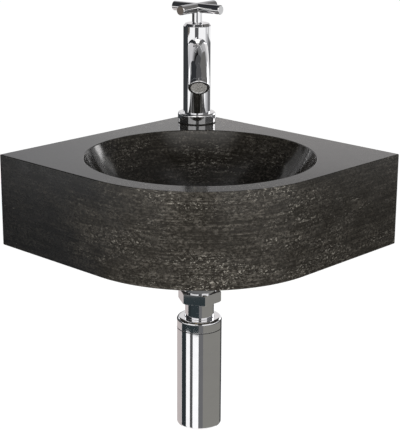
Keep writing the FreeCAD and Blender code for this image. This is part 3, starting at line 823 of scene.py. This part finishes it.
@dataclass
class TapPillar(Assembly):
    """Foot ring, pillar and cap of the tap."""

    shoulder: float = 2.5 * MM
    edge: float = 0.25 * MM
    cap_top: float = 13.7 * MM
    chamber: float = 11 * MM
    passage: float = 5.5 * MM
    shank_socket: float = 14 * MM
    seat_height: float = 62 * MM
    spout_hole: float = 10.1 * MM
    spindle_hole: float = 4.4 * MM
    cap_spigot: float = 4 * MM
    cap_height: float = 3 * MM
    landing_radius: float = 6.8 * MM
    landing_height: float = 0.28 * MM

    def __post_init__(self) -> None:
        """Reads the axis and the main sizes from the frame."""
        self.axis = upright("tap_body")
        self.pillar = Span.of("tap_body")
        self.socket = Span.of("tap_shank").radius + self.play

    def build(self) -> None:
        """Models and dresses the three pieces."""
        self.foot_ring()
        self.tube()
        self.cap()

    def foot_ring(self) -> None:
        """Thick ring with a rounded shoulder and a floor that the pillar stands on."""
        foot, inner, bore = Span.of("tap_base_ring"), self.pillar.radius + self.play, self.socket
        corners = ((bore, foot.low), (foot.radius, foot.low, self.edge), (foot.radius, foot.high, self.shoulder),
                   (inner, foot.high, self.edge), (inner, self.pillar.low), (bore, self.pillar.low))
        self.lathe("foot_ring", "chrome", "tap_base_ring", corners, bits=10)

    def tube(self) -> None:
        """Pillar with its valve chamber, water way, shank socket and the spout's hole."""
        low, high, radius = self.pillar.low, self.pillar.high, self.pillar.radius
        seat, step = low + self.seat_height, low + self.shank_socket
        corners = ((radius, low), (radius, high, self.edge), (self.chamber, high), (self.chamber, seat),
                   (self.passage, seat), (self.passage, step), (self.socket, step), (self.socket, low))
        pillar = turn("pillar", self.axis, corners)
        spout = Axis(self.axis.place(0, Spout.height_of()), -REAR)
        combine(pillar, drill("spout_hole_tool", spout, self.spout_hole, 0, 2 * radius))
        self.dress(pillar, "chrome", "tap_body")

    def cap(self) -> None:
        """Cap with a chamfered rim, a landing for the neck and a spigot in the pillar's top."""
        low, high = self.pillar.high, self.pillar.high + self.cap_height
        spigot, foot, landing = self.chamber - self.play, low - self.cap_spigot, high + self.landing_height
        corners = ((self.spindle_hole, foot), (spigot, foot), (spigot, low), (self.pillar.radius, low, self.edge / 2),
                   (self.cap_top, high, 2 * self.edge), (self.landing_radius, high),
                   (self.landing_radius, landing, self.edge / 2), (self.spindle_hole, landing))
        self.lathe("pillar_cap", "chrome", "bonnet_cap", corners)


@dataclass
class Spout(Assembly):
    """Bent spout with the ring that holds its flow straightener."""

    play: float = 0.05 * MM
    radius: float = 12 * MM
    bore: float = 9 * MM
    bend_radius: float = 112 * MM
    bend_angle: float = math.radians(41.5)
    bend_steps: int = 56
    ring_height: float = 5 * MM
    ring_bore: float = 8.9 * MM
    ring_entry: float = 6.8 * MM
    thread_radius: float = 10.7 * MM
    edge: float = 0.35 * MM

    @staticmethod
    def height_of() -> float:
        """Height of the spout's straight centreline, below the top of the spout's box by its radius."""
        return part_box("spout_tube")[1].z - Spout.radius

    def __post_init__(self) -> None:
        """Works out the bend's middle and the outlet from the frame."""
        self.axis = upright("tap_body")
        self.pillar = Span.of("tap_body")
        self.root = self.axis.place(0, self.height_of())
        start = Vector((0, self.root.y - self.pillar.radius, self.root.z))
        self.bend_centre = start - UP * self.bend_radius
        sine, cosine = math.sin(self.bend_angle), math.cos(self.bend_angle)
        end = self.bend_centre + Vector((0, -sine, cosine)) * self.bend_radius
        self.outlet = Axis(end, Vector((0, -cosine, -sine)))

    def build(self) -> None:
        """Models and dresses the spout and its ring."""
        self.dress(self.tube(), "chrome", "spout_tube")
        self.dress(self.end_ring(), "chrome", "aerator_housing")

    def tube(self) -> Piece:
        """Ring-shaped face, drawn forward and spun down round the bend, saddled on the pillar.

        Returns:
            The spout.
        """
        bpy.ops.mesh.primitive_circle_add(vertices=SLIM_STEPS, radius=self.radius, fill_type="NOTHING",
                                          location=self.root, rotation=(math.radians(90), 0, 0))
        tube = named("spout")
        edit()
        bpy.ops.mesh.extrude_region_move()
        bpy.ops.transform.resize(value=(self.bore / self.radius,) * 3, center_override=self.root)
        bpy.ops.mesh.select_all(action="SELECT")
        bpy.ops.mesh.extrude_region_move(TRANSFORM_OT_translate={"value": (0, -self.pillar.radius, 0)})
        bpy.ops.mesh.spin(steps=self.bend_steps, angle=self.bend_angle, center=self.bend_centre, axis=-RIGHT)
        weld()
        leave()
        return combine(tube, drill("saddle_tool", self.axis, self.pillar.radius + self.play, self.pillar.low,
                                   self.pillar.high, STEPS))

    def end_ring(self) -> Piece:
        """Ring past the spout's end, with a spigot inside it.

        Returns:
            The ring.
        """
        corners = ((self.ring_bore, -self.ring_entry), (self.thread_radius, -self.ring_entry),
                   (self.thread_radius, 0), (self.radius, 0, self.edge), (self.radius, self.ring_height, 4 * self.edge),
                   (self.ring_bore, self.ring_height, 2 * self.edge))
        return turn("spout_ring", self.outlet, corners)


@dataclass
class CrossHandle(Assembly):
    """Cross handle: a long bar, two arms saddled on it and the neck under them."""

    body: Body = Body.HANDLE
    play: float = 0.05 * MM
    bar_radius: float = 5.5 * MM
    bar_half: float = 33 * MM
    bar_angle: float = math.radians(-37)
    end_chamfer: float = 0.6 * MM
    neck_radius: float = 6 * MM
    neck_share: float = 0.6      # how far the neck runs up the bars, as a share of their radius
    tip_radius: float = 3.1 * MM
    edge: float = 0.4 * MM

    def __post_init__(self) -> None:
        """Reads the place of the cross from the frame."""
        self.axis = upright("tap_body")
        self.middle = self.axis.place(0, frame_middle("handle_cross_bar").z)

    def build(self) -> None:
        """Models and dresses the handle."""
        self.dress(self.bar("long_bar", 0, -self.bar_half), "chrome", "handle_cross_bar")
        arms = [combine(self.bar(f"handle_arm_{quarter}", quarter, 0), self.bar_tool(0)) for quarter in (1, 3)]
        join(*arms)
        self.dress(named("side_arms"), "chrome", "handle_side_arms")
        self.dress(self.neck(), "chrome", "handle_neck")

    def bar_axis(self, quarter: int) -> Axis:
        """Line of a bar, by quarter turns from the long bar's near end."""
        angle = self.bar_angle + quarter * math.pi / 2
        return Axis(self.middle, Vector((math.cos(angle), math.sin(angle), 0)), UP)

    def bar(self, name: str, quarter: int, start: float) -> Piece:
        """Bar from one place along its line to its chamfered end.

        Args:
            name: the bar's name.
            quarter: its line, by quarter turns.
            start: where it starts; the start is chamfered too, unless it is the middle.

        Returns:
            The bar.
        """
        radius, end, chamfer = self.bar_radius, self.bar_half, self.end_chamfer
        corners = [(0, start), (radius, start), (radius, end - chamfer, chamfer / 2),
                   (radius - chamfer, end, chamfer / 3), (0, end)]
        if start < 0:
            corners[1:2] = [(radius - chamfer, start, chamfer / 3), (radius, start + chamfer, chamfer / 2)]
        return turn(name, self.bar_axis(quarter), corners, bits=3, steps=SLIM_STEPS)

    def bar_tool(self, quarter: int) -> Piece:
        """Solid a little thicker than a bar, to cut its saddle with."""
        return drill("bar_tool", self.bar_axis(quarter), self.bar_radius + self.play, -self.bar_half, self.bar_half,
                     SLIM_STEPS)

    def neck(self) -> Piece:
        """Neck with its saddles at the top and its bore for the spindle.

        Returns:
            The neck.
        """
        low, tip = Span.of("handle_neck").low, Span.of("spindle").high + self.play
        top = self.middle.z - self.bar_radius * (1 - self.neck_share)
        corners = ((self.neck_radius, low, self.edge), (self.neck_radius, top), (0, top), (0, tip),
                   (self.tip_radius, tip), (self.tip_radius, low))
        neck = turn("neck", self.axis, corners, steps=SLIM_STEPS)
        for quarter in (0, 1):
            combine(neck, self.bar_tool(quarter))
        return neck


@dataclass
class TapFixing(Assembly):
    """What holds the tap under the stone: shank, washers and nut, and the gasket on top."""

    bore: float = 6.5 * MM
    pitch: float = 1.81 * MM
    tail_pitch: float = 1.34 * MM
    tail_radius: float = 8.33 * MM
    tail_length: float = 14 * MM
    nut_flats: float = 30 * MM

    def __post_init__(self) -> None:
        """Reads the axis from the frame."""
        self.axis = upright("tap_body")

    def build(self) -> None:
        """Models and dresses the pieces; the shank is a threaded pipe with a slimmer threaded tail."""
        shank = Span.of("tap_shank")
        step, inner = shank.low + self.tail_length, shank.radius + self.play
        corners = [(self.bore, shank.low), *thread(self.tail_radius, shank.low, step, self.tail_pitch),
                   *thread(shank.radius, step, shank.high, self.pitch), (self.bore, shank.high)]
        self.lathe("shank", "brass", "tap_shank", corners, steps=SLIM_STEPS)
        self.rings(inner, ("tap_base_gasket", "rubber", 0.3), ("shank_rubber_washer", "rubber", 0.9),
                   ("shank_clamp_washer", "steel", 0.25))
        self.back_nut("shank_nut", "shank_back_nut", inner, self.nut_flats)


@dataclass
class Waste(Assembly):
    """Free-flow waste: flanged body, grid with its screw, gaskets, washer and nut."""

    flange_edge: float = 1.2 * MM
    tail_edge: float = 0.5 * MM
    grid_edge: float = 0.3 * MM
    thread_radius: float = 20.95 * MM
    thread_reach: float = 30 * MM
    tail_radius: float = 18.95 * MM
    bore: float = 17 * MM
    flange_height: float = 3 * MM
    pitch: float = 2.31 * MM
    hole_radius: float = 2.2 * MM
    hole_shares: Range = (0.45, 0.76)
    hole_counts: tuple[int, int] = (8, 14)
    bridge_width: float = 4 * MM
    bridge_height: float = 5 * MM
    bridge_boss: float = 4.5 * MM
    screw_radius: float = 2 * MM
    slot_width: float = 1 * MM
    slot_depth: float = 0.8 * MM
    head_height: float = 1.6 * MM
    head_radius: float = 4 * MM
    dome_share: float = 0.9      # rounding of the screw's head as a share of its height
    nut_flats: float = 52 * MM

    def __post_init__(self) -> None:
        """Reads the axis and the main places from the frame."""
        self.axis = upright("waste_grid")
        self.pipe = Span.of("waste_body")
        self.plate = Span.of("waste_grid")

    def build(self) -> None:
        """Models and dresses the pieces."""
        self.flanged_pipe()
        self.grid()
        self.screw()
        inner = self.thread_radius + self.play
        self.rings(inner, ("waste_upper_gasket", "rubber", 0.4), ("waste_lower_gasket", "rubber", 0.9),
                   ("waste_slip_washer", "plastic", 0.4))
        self.back_nut("waste_nut", "waste_back_nut", inner, self.nut_flats)

    def flanged_pipe(self) -> None:
        """Flange, threaded pipe and slim tail, with the bridge that takes the grid's screw."""
        pipe, seat, recess = self.pipe, self.plate.low, self.plate.radius + self.play
        flange_low, thread_end = pipe.high - self.flange_height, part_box("basin_block")[0].z - self.thread_reach
        corners = [(self.bore, pipe.low), (self.tail_radius, pipe.low, self.tail_edge), (self.tail_radius, thread_end),
                   *thread(self.thread_radius, thread_end, flange_low, self.pitch), (pipe.radius, flange_low),
                   (pipe.radius, pipe.high, self.flange_edge), (recess, pipe.high, FINE_EDGE), (recess, seat),
                   (self.bore, seat)]
        body = turn("flanged_pipe", self.axis, corners)
        low = seat - self.bridge_height
        bridge = slab("bridge_tool", self.axis.place(0, (low + seat) / 2),
                      (2 * self.bore + MM, self.bridge_width, self.bridge_height))
        combine(body, bridge, kind="UNION")
        combine(body, drill("boss_tool", self.axis, self.bridge_boss, low, seat), kind="UNION")
        combine(body, drill("screw_hole_tool", self.axis, self.screw_radius, low - MM, seat + MM, HOLE_STEPS))
        self.dress(body, "chrome", "waste_body")

    def grid(self) -> None:
        """Round plate with a rounded rim, drilled on two circles and at its middle."""
        low, high, radius = self.plate.low, self.plate.high, self.plate.radius
        corners = ((0, low), (radius, low), (radius, high, self.grid_edge), (0, high))
        grid = turn("drain_grid", self.axis, corners, bits=4)
        holes = [(self.axis.point, self.screw_radius + self.play)]
        for share, count in zip(self.hole_shares, self.hole_counts):
            for angle in (math.tau * number / count for number in range(count)):
                way = Vector((math.cos(angle), math.sin(angle), 0))
                holes.append((self.axis.point + way * (share * radius), self.hole_radius))
        combine(grid, *(drill("hole_tool", Axis(place), size, low - MM, high + MM, HOLE_STEPS)
                        for place, size in holes))
        soften(FINE_EDGE)
        self.dress(grid, "chrome", "waste_grid")

    def screw(self) -> None:
        """Slotted screw with a domed head."""
        low, seat, radius = Span.of("waste_screw").low, self.plate.high, self.screw_radius - self.play
        top = seat + self.head_height
        corners = ((0, low), (radius, low), (radius, seat), (self.head_radius, seat),
                   (self.head_radius, top, self.head_height * self.dome_share), (0, top))
        screw = turn("grid_screw", self.axis, corners, steps=SLIM_STEPS // 2)
        slot = (3 * self.head_radius, self.slot_width, 2 * self.slot_depth)
        combine(screw, slab("slot_tool", self.axis.place(0, top), slot))
        self.dress(screw, "steel", "waste_screw")


@dataclass
class BottleTrap(Assembly):
    """Bottle trap: union nut, dip tube, lid, bottle with its rear boss, and the outlet's nut."""

    nut_flats: float = 42 * MM
    nut_ledge: float = 2.5 * MM
    nut_corner: float = math.radians(-17)
    tail_radius: float = 18.95 * MM
    tube_radius: float = 16 * MM
    tube_wall: float = 1 * MM
    collar_height: float = 2 * MM
    lid_rounding: float = 3.5 * MM
    lid_height: float = 12 * MM
    lid_spigot: float = 9 * MM
    lid_plate: float = 3 * MM
    spigot_wall: float = 2.8 * MM
    bottle_rounding: float = 4 * MM
    wall: float = 2.2 * MM
    floor: float = 3 * MM
    edge: float = 0.3 * MM
    seal_edge: float = 0.5 * MM
    boss_stop: float = 14 * MM
    boss_stop_depth: float = 2 * MM
    pitch: float = 2.31 * MM

    def __post_init__(self) -> None:
        """Reads the axes and the main places from the frame."""
        self.axis = upright("inlet_tube")
        self.outlet = Axis(Vector((0, 0, frame_middle("outlet_seal").z)), REAR)
        self.bottle = Span.of("trap_bottle")
        self.bore = self.tube_radius + self.play

    def build(self) -> None:
        """Models and dresses the pieces."""
        nut = Span.of("union_nut")
        blank = self.union_blank(nut.low, nut.low + self.nut_ledge, nut.high)
        self.dress(hexagon_nut("trap_nut", self.axis, self.nut_flats, blank, self.nut_corner), "chrome", "union_nut")
        self.dip_tube()
        self.lid_cap()
        self.rings(self.bottle.radius - self.wall, ("lid_seal", "rubber", 0.2))
        self.cup()
        start, end = (corner.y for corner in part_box("outlet_nut"))
        blank = self.union_blank(start, end - self.nut_ledge, end, ledge_last=True)
        self.dress(hexagon_nut("rear_nut", self.outlet, self.nut_flats, blank, math.pi / 2), "chrome", "outlet_nut")
        start, end = (corner.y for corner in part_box("outlet_seal"))
        seal = ring("rear_seal", self.outlet, (self.tail_radius - self.play, self.bore), (start, end), self.seal_edge)
        self.dress(seal, "rubber", "outlet_seal")

    def union_blank(self, low: float, step: float, high: float, ledge_last: bool = False) -> Corners:
        """Turned blank of a union nut, with a narrow ledge at one end.

        Args:
            low: start along the nut's line.
            step: where the ledge meets the thread.
            high: end along the nut's line.
            ledge_last: whether the ledge is at the far end.

        Returns:
            The blank's corners.
        """
        first, last = self.bore, self.tail_radius + self.play
        if ledge_last:
            first, last = last, first
        corners = self.blank(first, self.nut_flats, low, high)
        return [*corners[:-1], (last, high), (last, step), (first, step)]

    def dip_tube(self) -> None:
        """Tube with a collar at its top, down through the lid into the water."""
        pipe, radius, inner = Span.of("inlet_tube"), self.tube_radius, self.tube_radius - self.tube_wall
        collar = pipe.high - self.collar_height
        corners = ((inner, pipe.low, self.edge), (radius, pipe.low, self.edge), (radius, collar),
                   (pipe.radius, collar), (pipe.radius, pipe.high), (inner, pipe.high))
        self.lathe("dip_tube", "chrome", "inlet_tube", corners, bits=3)

    def lid_cap(self) -> None:
        """Lid with a rounded top edge, a hole and a seal's groove for the tube, and a spigot in the bottle."""
        top, seal, radius, hole = Span.of("trap_lid").high, Span.of("lid_tube_seal"), self.bottle.radius, self.bore
        bottom, plate = top - self.lid_height, seal.low - self.lid_plate
        low, spigot = bottom - self.lid_spigot, radius - self.wall - self.play
        groove, hollow = seal.radius + self.play, spigot - self.spigot_wall
        corners = ((hollow, low), (spigot, low), (spigot, bottom), (radius, bottom, self.edge),
                   (radius, top, self.lid_rounding), (hole, top, 2 * self.edge), (hole, seal.high),
                   (groove, seal.high), (groove, seal.low), (hole, seal.low), (hole, plate), (hollow, plate))
        self.lathe("bottle_lid", "chrome", "trap_lid", corners, bits=12)

    def cup(self) -> None:
        """Bottle with a rounded foot and a threaded boss at the rear."""
        low, high, radius = self.bottle.low, self.bottle.high, self.bottle.radius
        inner, floor, side, end = radius - self.wall, low + self.floor, self.axis.point.y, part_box("trap_bottle")[1].y
        foot = ((0, low), (radius, low, self.bottle_rounding), (radius, high), (0, high))
        cup = turn("bottle", self.axis, foot, bits=14)
        boss = [(0, side), (self.tail_radius, side),
                *thread(self.tail_radius, side + radius, end, self.pitch), (0, end)]
        combine(cup, turn("boss_tool", self.outlet, boss, steps=SLIM_STEPS), kind="UNION")
        hollow = ((0, floor), (inner, floor, MM), (inner, high - MM), (inner, high + MM), (0, high + MM))
        combine(cup, turn("hollow_tool", self.axis, hollow))
        stop = side + radius + self.boss_stop_depth
        drilled = ((0, side), (self.boss_stop, side), (self.boss_stop, stop), (self.bore, stop),
                   (self.bore, end + MM), (0, end + MM))
        combine(cup, turn("bore_tool", self.outlet, drilled, steps=SLIM_STEPS))
        self.dress(cup, "chrome", "trap_bottle")


@dataclass
class HiddenPieces(Assembly):
    """Pieces whose solids show as they are: the valve inside the tap, small screws and sealed rings."""

    def build(self, frame: dict[str, Any]) -> None:
        """Gives every node that is still shown the finish of its slot.
        """
        for row in frame["record"]["subparts"]:
            node = frame["nodes"][row["node"]]
            if node.hide_render:
                continue
            node.data.materials.clear()
            node.data.materials.append(self.finishes.by_slot[row["material_slot"]])
            LOG.info("%s: solid of the frame, %s", node.name, row["material_slot"])


@dataclass(frozen=True)
class Card:
    """Curved card on a sphere round the basin, seen by mirrors only: a flag where it is dark."""

    name: str
    azimuths: Range
    elevations: Range
    radiance: Colour
    distance: float = 0.9
    last: Colour | None = None   # radiance at the last azimuth, where it changes along the card
    soft: Range | None = None    # degrees in which it fades: at the sides, at the top
    least: float = 0             # share of its radiance where it has faded at the top


@dataclass(frozen=True)
class Lamp:
    """Soft box: where it stands as seen from the basin, its size and its radiance."""

    name: str
    azimuth: float
    elevation: float
    distance: float
    width: float
    height: float
    radiance: float


@dataclass
class Studio:
    """White surroundings, pale floor, soft boxes and the cards that chrome mirrors."""

    middle: Vector = field(default_factory=lambda: Vector((0, -0.2, -0.05)))
    floor_drop: float = 0.85
    floor_size: float = 24
    floor_glow: float = 0.85      # share of plain white in the floor, as seen; the rest keeps the shadow
    floor_white: float = 1.18
    floor_tones: tuple[Colour, Colour] = ((0.86, 0.86, 0.86), (0.9, 0.9, 0.9))
    ambient: float = 0.08
    card_bits: int = 12
    card_steps: int = 48
    lamps: tuple[Lamp, ...] = (
        Lamp("right_box", 21, 6, 1.9, 1.0, 0.7, 5.8),
        Lamp("left_box", -24, 6, 1.9, 1.0, 0.7, 5.0),
        Lamp("top_box", 0, 75, 1.7, 1.2, 1.0, 0.12),
        Lamp("rear_right_box", 150, 10, 1.9, 1.0, 0.7, 4.0),
        Lamp("rear_left_box", -150, 10, 1.9, 1.0, 0.7, 4.0),
    )
    cards: tuple[Card, ...] = (
        Card("rear_left_low", (-178, -94), (-25, 6), (0.04, 0.043, 0.046)),
        Card("left_end", (-94, -74), (1, 8), (0.14, 0.12, 0.105)),
        Card("rear_left_high", (-129, -62), (8, 30), (0.03, 0.032, 0.035)),
        Card("rear_left_gap", (-140, -129), (8, 16), (0.03, 0.032, 0.035)),
        Card("rear_left_pale", (-140, -129), (16, 28), (0.45, 0.45, 0.46)),
        Card("left_streak", (-146, -140), (8, 16), (2.8, 2.8, 2.8)),
        Card("rear_left_wall", (-180, -146), (6, 19), (0.75, 0.74, 0.74), last=(0.50, 0.50, 0.52)),
        Card("rear_left_sky", (-180, -140), (19, 58), (0.62, 0.61, 0.62), soft=(0, 26)),
        Card("stone_flag", (-94, 68), (-25, -10), (0.15, 0.15, 0.15)),
        Card("front_low", (-24, 11), (-10, 3), (0.10, 0.10, 0.103)),
        Card("front_high", (-8, 13), (3, 28), (0.10, 0.10, 0.103)),
        Card("left_window", (-62, -24), (3, 28), (0.9, 0.89, 0.89)),
        Card("right_window", (13, 58), (3, 28), (0.9, 0.89, 0.89)),
        Card("right_flag", (68, 150), (-25, -9), (0.06, 0.06, 0.06)),
        Card("right_pale", (81, 97), (-9, 4), (0.60, 0.60, 0.61)),
        Card("right_grey", (97, 113), (-9, 1.5), (0.36, 0.36, 0.37)),
        Card("right_end", (103, 124), (1.5, 9), (0.60, 0.60, 0.60)),
        Card("right_high", (58, 129), (9, 28), (0.16, 0.16, 0.165)),
        Card("rear_right", (113, 150), (-9, 1.5), (0.14, 0.14, 0.145)),
        Card("right_streak", (129, 138), (8, 19), (6.0, 5.9, 5.9)),
        Card("right_glow", (138, 148), (8, 19), (2.0, 2.0, 2.0)),
        Card("rear_right_wall", (148, 180), (6, 19), (0.76, 0.74, 0.74)),
        Card("rear_right_edge", (138, 153), (19, 28), (0.40, 0.40, 0.41)),
        Card("rear_right_sky", (153, 180), (19, 58), (0.48, 0.475, 0.48), soft=(0, 30), least=0.3),
        Card("rear_sky", (140, 220), (58, 70), (0.075, 0.075, 0.078)),
        Card("front_sky", (-58, 58), (28, 70), (2.0, 1.96, 1.9), 0.93, soft=(34, 34)),
        Card("left_sky", (-140, -56), (30, 70), (0.03, 0.032, 0.035)),
        Card("right_sky", (56, 153), (28, 70), (0.15, 0.145, 0.14)),
        Card("canopy", (-180, 180), (70, 89), (0.085, 0.085, 0.088)),
        Card("nut_flag", (-70, -2), (-29, -25), (0.03, 0.04, 0.044)),
        Card("low_pale_left", (-160, -101), (-56, -25), (0.54, 0.49, 0.48)),
        Card("low_black_left", (-100, -70), (-56, -25), (0.024, 0.031, 0.034)),
        Card("low_gap", (-48, -34), (-56, -29), (0.09, 0.09, 0.093)),
        Card("low_front", (-5, 17), (-56, -25), (0.15, 0.15, 0.155)),
        Card("low_right", (17, 130), (-56, -25), (0.235, 0.23, 0.213)),
        Card("low_dark_right", (130, 152), (-56, -25), (0.055, 0.055, 0.058)),
    )

    def build(self) -> None:
        """Makes the surroundings."""
        self.world()
        self.floor()
        for card in self.cards:
            self.raise_card(card)
        for lamp in self.lamps:
            self.hang(lamp)

    def raise_card(self, card: Card) -> None:
        """Makes a card: a line up its curve, spun round the basin, with its front inwards.

        Args:
            card: the card.
        """
        (first, last), (low, high) = card.azimuths, card.elevations
        axis = Axis(self.middle, -UP, outward(first, 0))
        angles = [math.radians(low + (high - low) * bit / self.card_bits) for bit in range(self.card_bits + 1)]
        curve = [(card.distance * math.cos(angle), -card.distance * math.sin(angle)) for angle in angles]
        made = sweep(card.name, axis, curve, self.card_steps, math.radians(last - first))
        bpy.ops.object.transform_apply(location=True)
        bpy.ops.object.shade_smooth()
        face = made.data.polygons[0]
        if face.normal.dot(face.center - self.middle) > 0:
            edit()
            bpy.ops.mesh.flip_normals()
            leave()
        made.visible_camera = made.visible_diffuse = made.visible_shadow = made.visible_transmission = False
        made.data.materials.append(self.glow(card))

    def glow(self, card: Card) -> bpy.types.Material:
        """Light of a card, to its inner side only.

        Args:
            card: the card.

        Returns:
            The material.
        """
        shader = Shader(card.name)
        colour, share = card.radiance, 1
        x, y, z = shader.node("SeparateXYZ", {0: shader.place}).outputs
        way = shader.math("ARCTAN2", shader.math("SUBTRACT", x, self.middle.x),
                          shader.math("SUBTRACT", self.middle.y, y))
        first, last = (math.radians(angle) for angle in card.azimuths)
        if card.last:
            colour = shader.mix(shader.between(way, first, last), colour, card.last)
        if card.soft:
            side, top = (math.radians(angle) for angle in card.soft)
            upper = math.radians(card.elevations[1])
            heights = [self.middle.z + card.distance * math.sin(angle) for angle in (upper - top, upper)]
            share = shader.between(z, *heights, 1, card.least)
            if side:
                sides = shader.math("MULTIPLY", shader.between(way, first, first + side),
                                    shader.between(way, last - side, last, 1, 0))
                share = shader.math("MULTIPLY", share, sides)
        shader.show(shader.node("Emission", {"Color": colour, "Strength": share}))
        return shader.owner

    def world(self) -> None:
        """White behind everything that is seen or mirrored, and a plain ambient level for the rest."""
        world = bpy.context.scene.world = bpy.data.worlds.new("studio")
        shader = Shader(world.name, world)
        shader.set(Color=(1, 1, 1), Strength=shader.between(shader.seen(), 0, 1, self.ambient))

    def floor(self) -> None:
        """Pale floor that shows white but keeps the basin's shadow; clear from below."""
        bpy.ops.mesh.primitive_plane_add(size=self.floor_size, location=(0, 0, -self.floor_drop))
        floor = named("floor")
        shader = Shader("floor")
        speckle = shader.noise((3, 3, 3), 3, 0.6)
        shader.set(Roughness=0.9, Base_Color=shader.mix(speckle, *self.floor_tones))
        glow = shader.node("Emission", {"Color": (1, 1, 1), "Strength": self.floor_white})
        share = shader.between(shader.seen(), 0, 1, 0, self.floor_glow)
        shader.show(shader.node("MixShader", {0: share, 1: shader.surface.outputs[0], 2: glow.outputs[0]}))
        floor.data.materials.append(shader.owner)

    def hang(self, lamp: Lamp) -> None:
        """Hangs a soft box that faces the basin.

        Args:
            lamp: the soft box.
        """
        light = bpy.data.lights.new(lamp.name, "AREA")
        light.shape = "RECTANGLE"
        light.size, light.size_y = lamp.width, lamp.height
        light.energy = lamp.radiance * math.pi * lamp.width * lamp.height
        box = bpy.data.objects.new(lamp.name, light)
        bpy.context.scene.collection.objects.link(box)
        box.visible_glossy = False
        way = outward(lamp.azimuth, lamp.elevation)
        box.location = self.middle + way * lamp.distance
        box.rotation_euler = way.to_track_quat("Z", "Y").to_euler()


@dataclass(frozen=True)
class PhotoCamera:
    """Camera fitted to the photograph's edges; its frame is 400 by 430 pixels."""

    focal_pixels: float = 1331.96
    long_side_pixels: float = 430
    sensor: float = 36
    azimuth: float = -1.42
    elevation: float = 16.33
    roll: float = math.radians(0.284)
    distance: float = 1.43253
    target: Triple = (0.0002, -0.212, -0.06734)

    def build(self) -> None:
        """Makes the camera and gives it to the scene."""
        data = bpy.data.cameras.new("photo_camera")
        data.sensor_width = self.sensor
        data.lens = self.focal_pixels * self.sensor / self.long_side_pixels
        camera = bpy.data.objects.new("photo_camera", data)
        bpy.context.scene.collection.objects.link(camera)
        back = outward(self.azimuth, self.elevation)
        camera.location = Vector(self.target) + back * self.distance
        look = (-back).to_track_quat("-Z", "Y")
        camera.rotation_euler = (Quaternion(back, self.roll) @ look).to_euler()
        bpy.context.scene.camera = camera


def main() -> None:
    """Builds the basin's looks in order, sets the studio and the camera."""
    logging.basicConfig(level=logging.INFO, format="%(name)s: %(message)s")
    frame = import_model()
    bpy.context.scene.view_settings.view_transform = "Standard"
    finishes = Finishes()
    for kind in (StoneBlock, TapPillar, Spout, CrossHandle, TapFixing, Waste, BottleTrap):
        kind(finishes).build()
    HiddenPieces(finishes).build(frame)
    Studio().build()
    PhotoCamera().build()


if __name__ == "__main__":
    main()
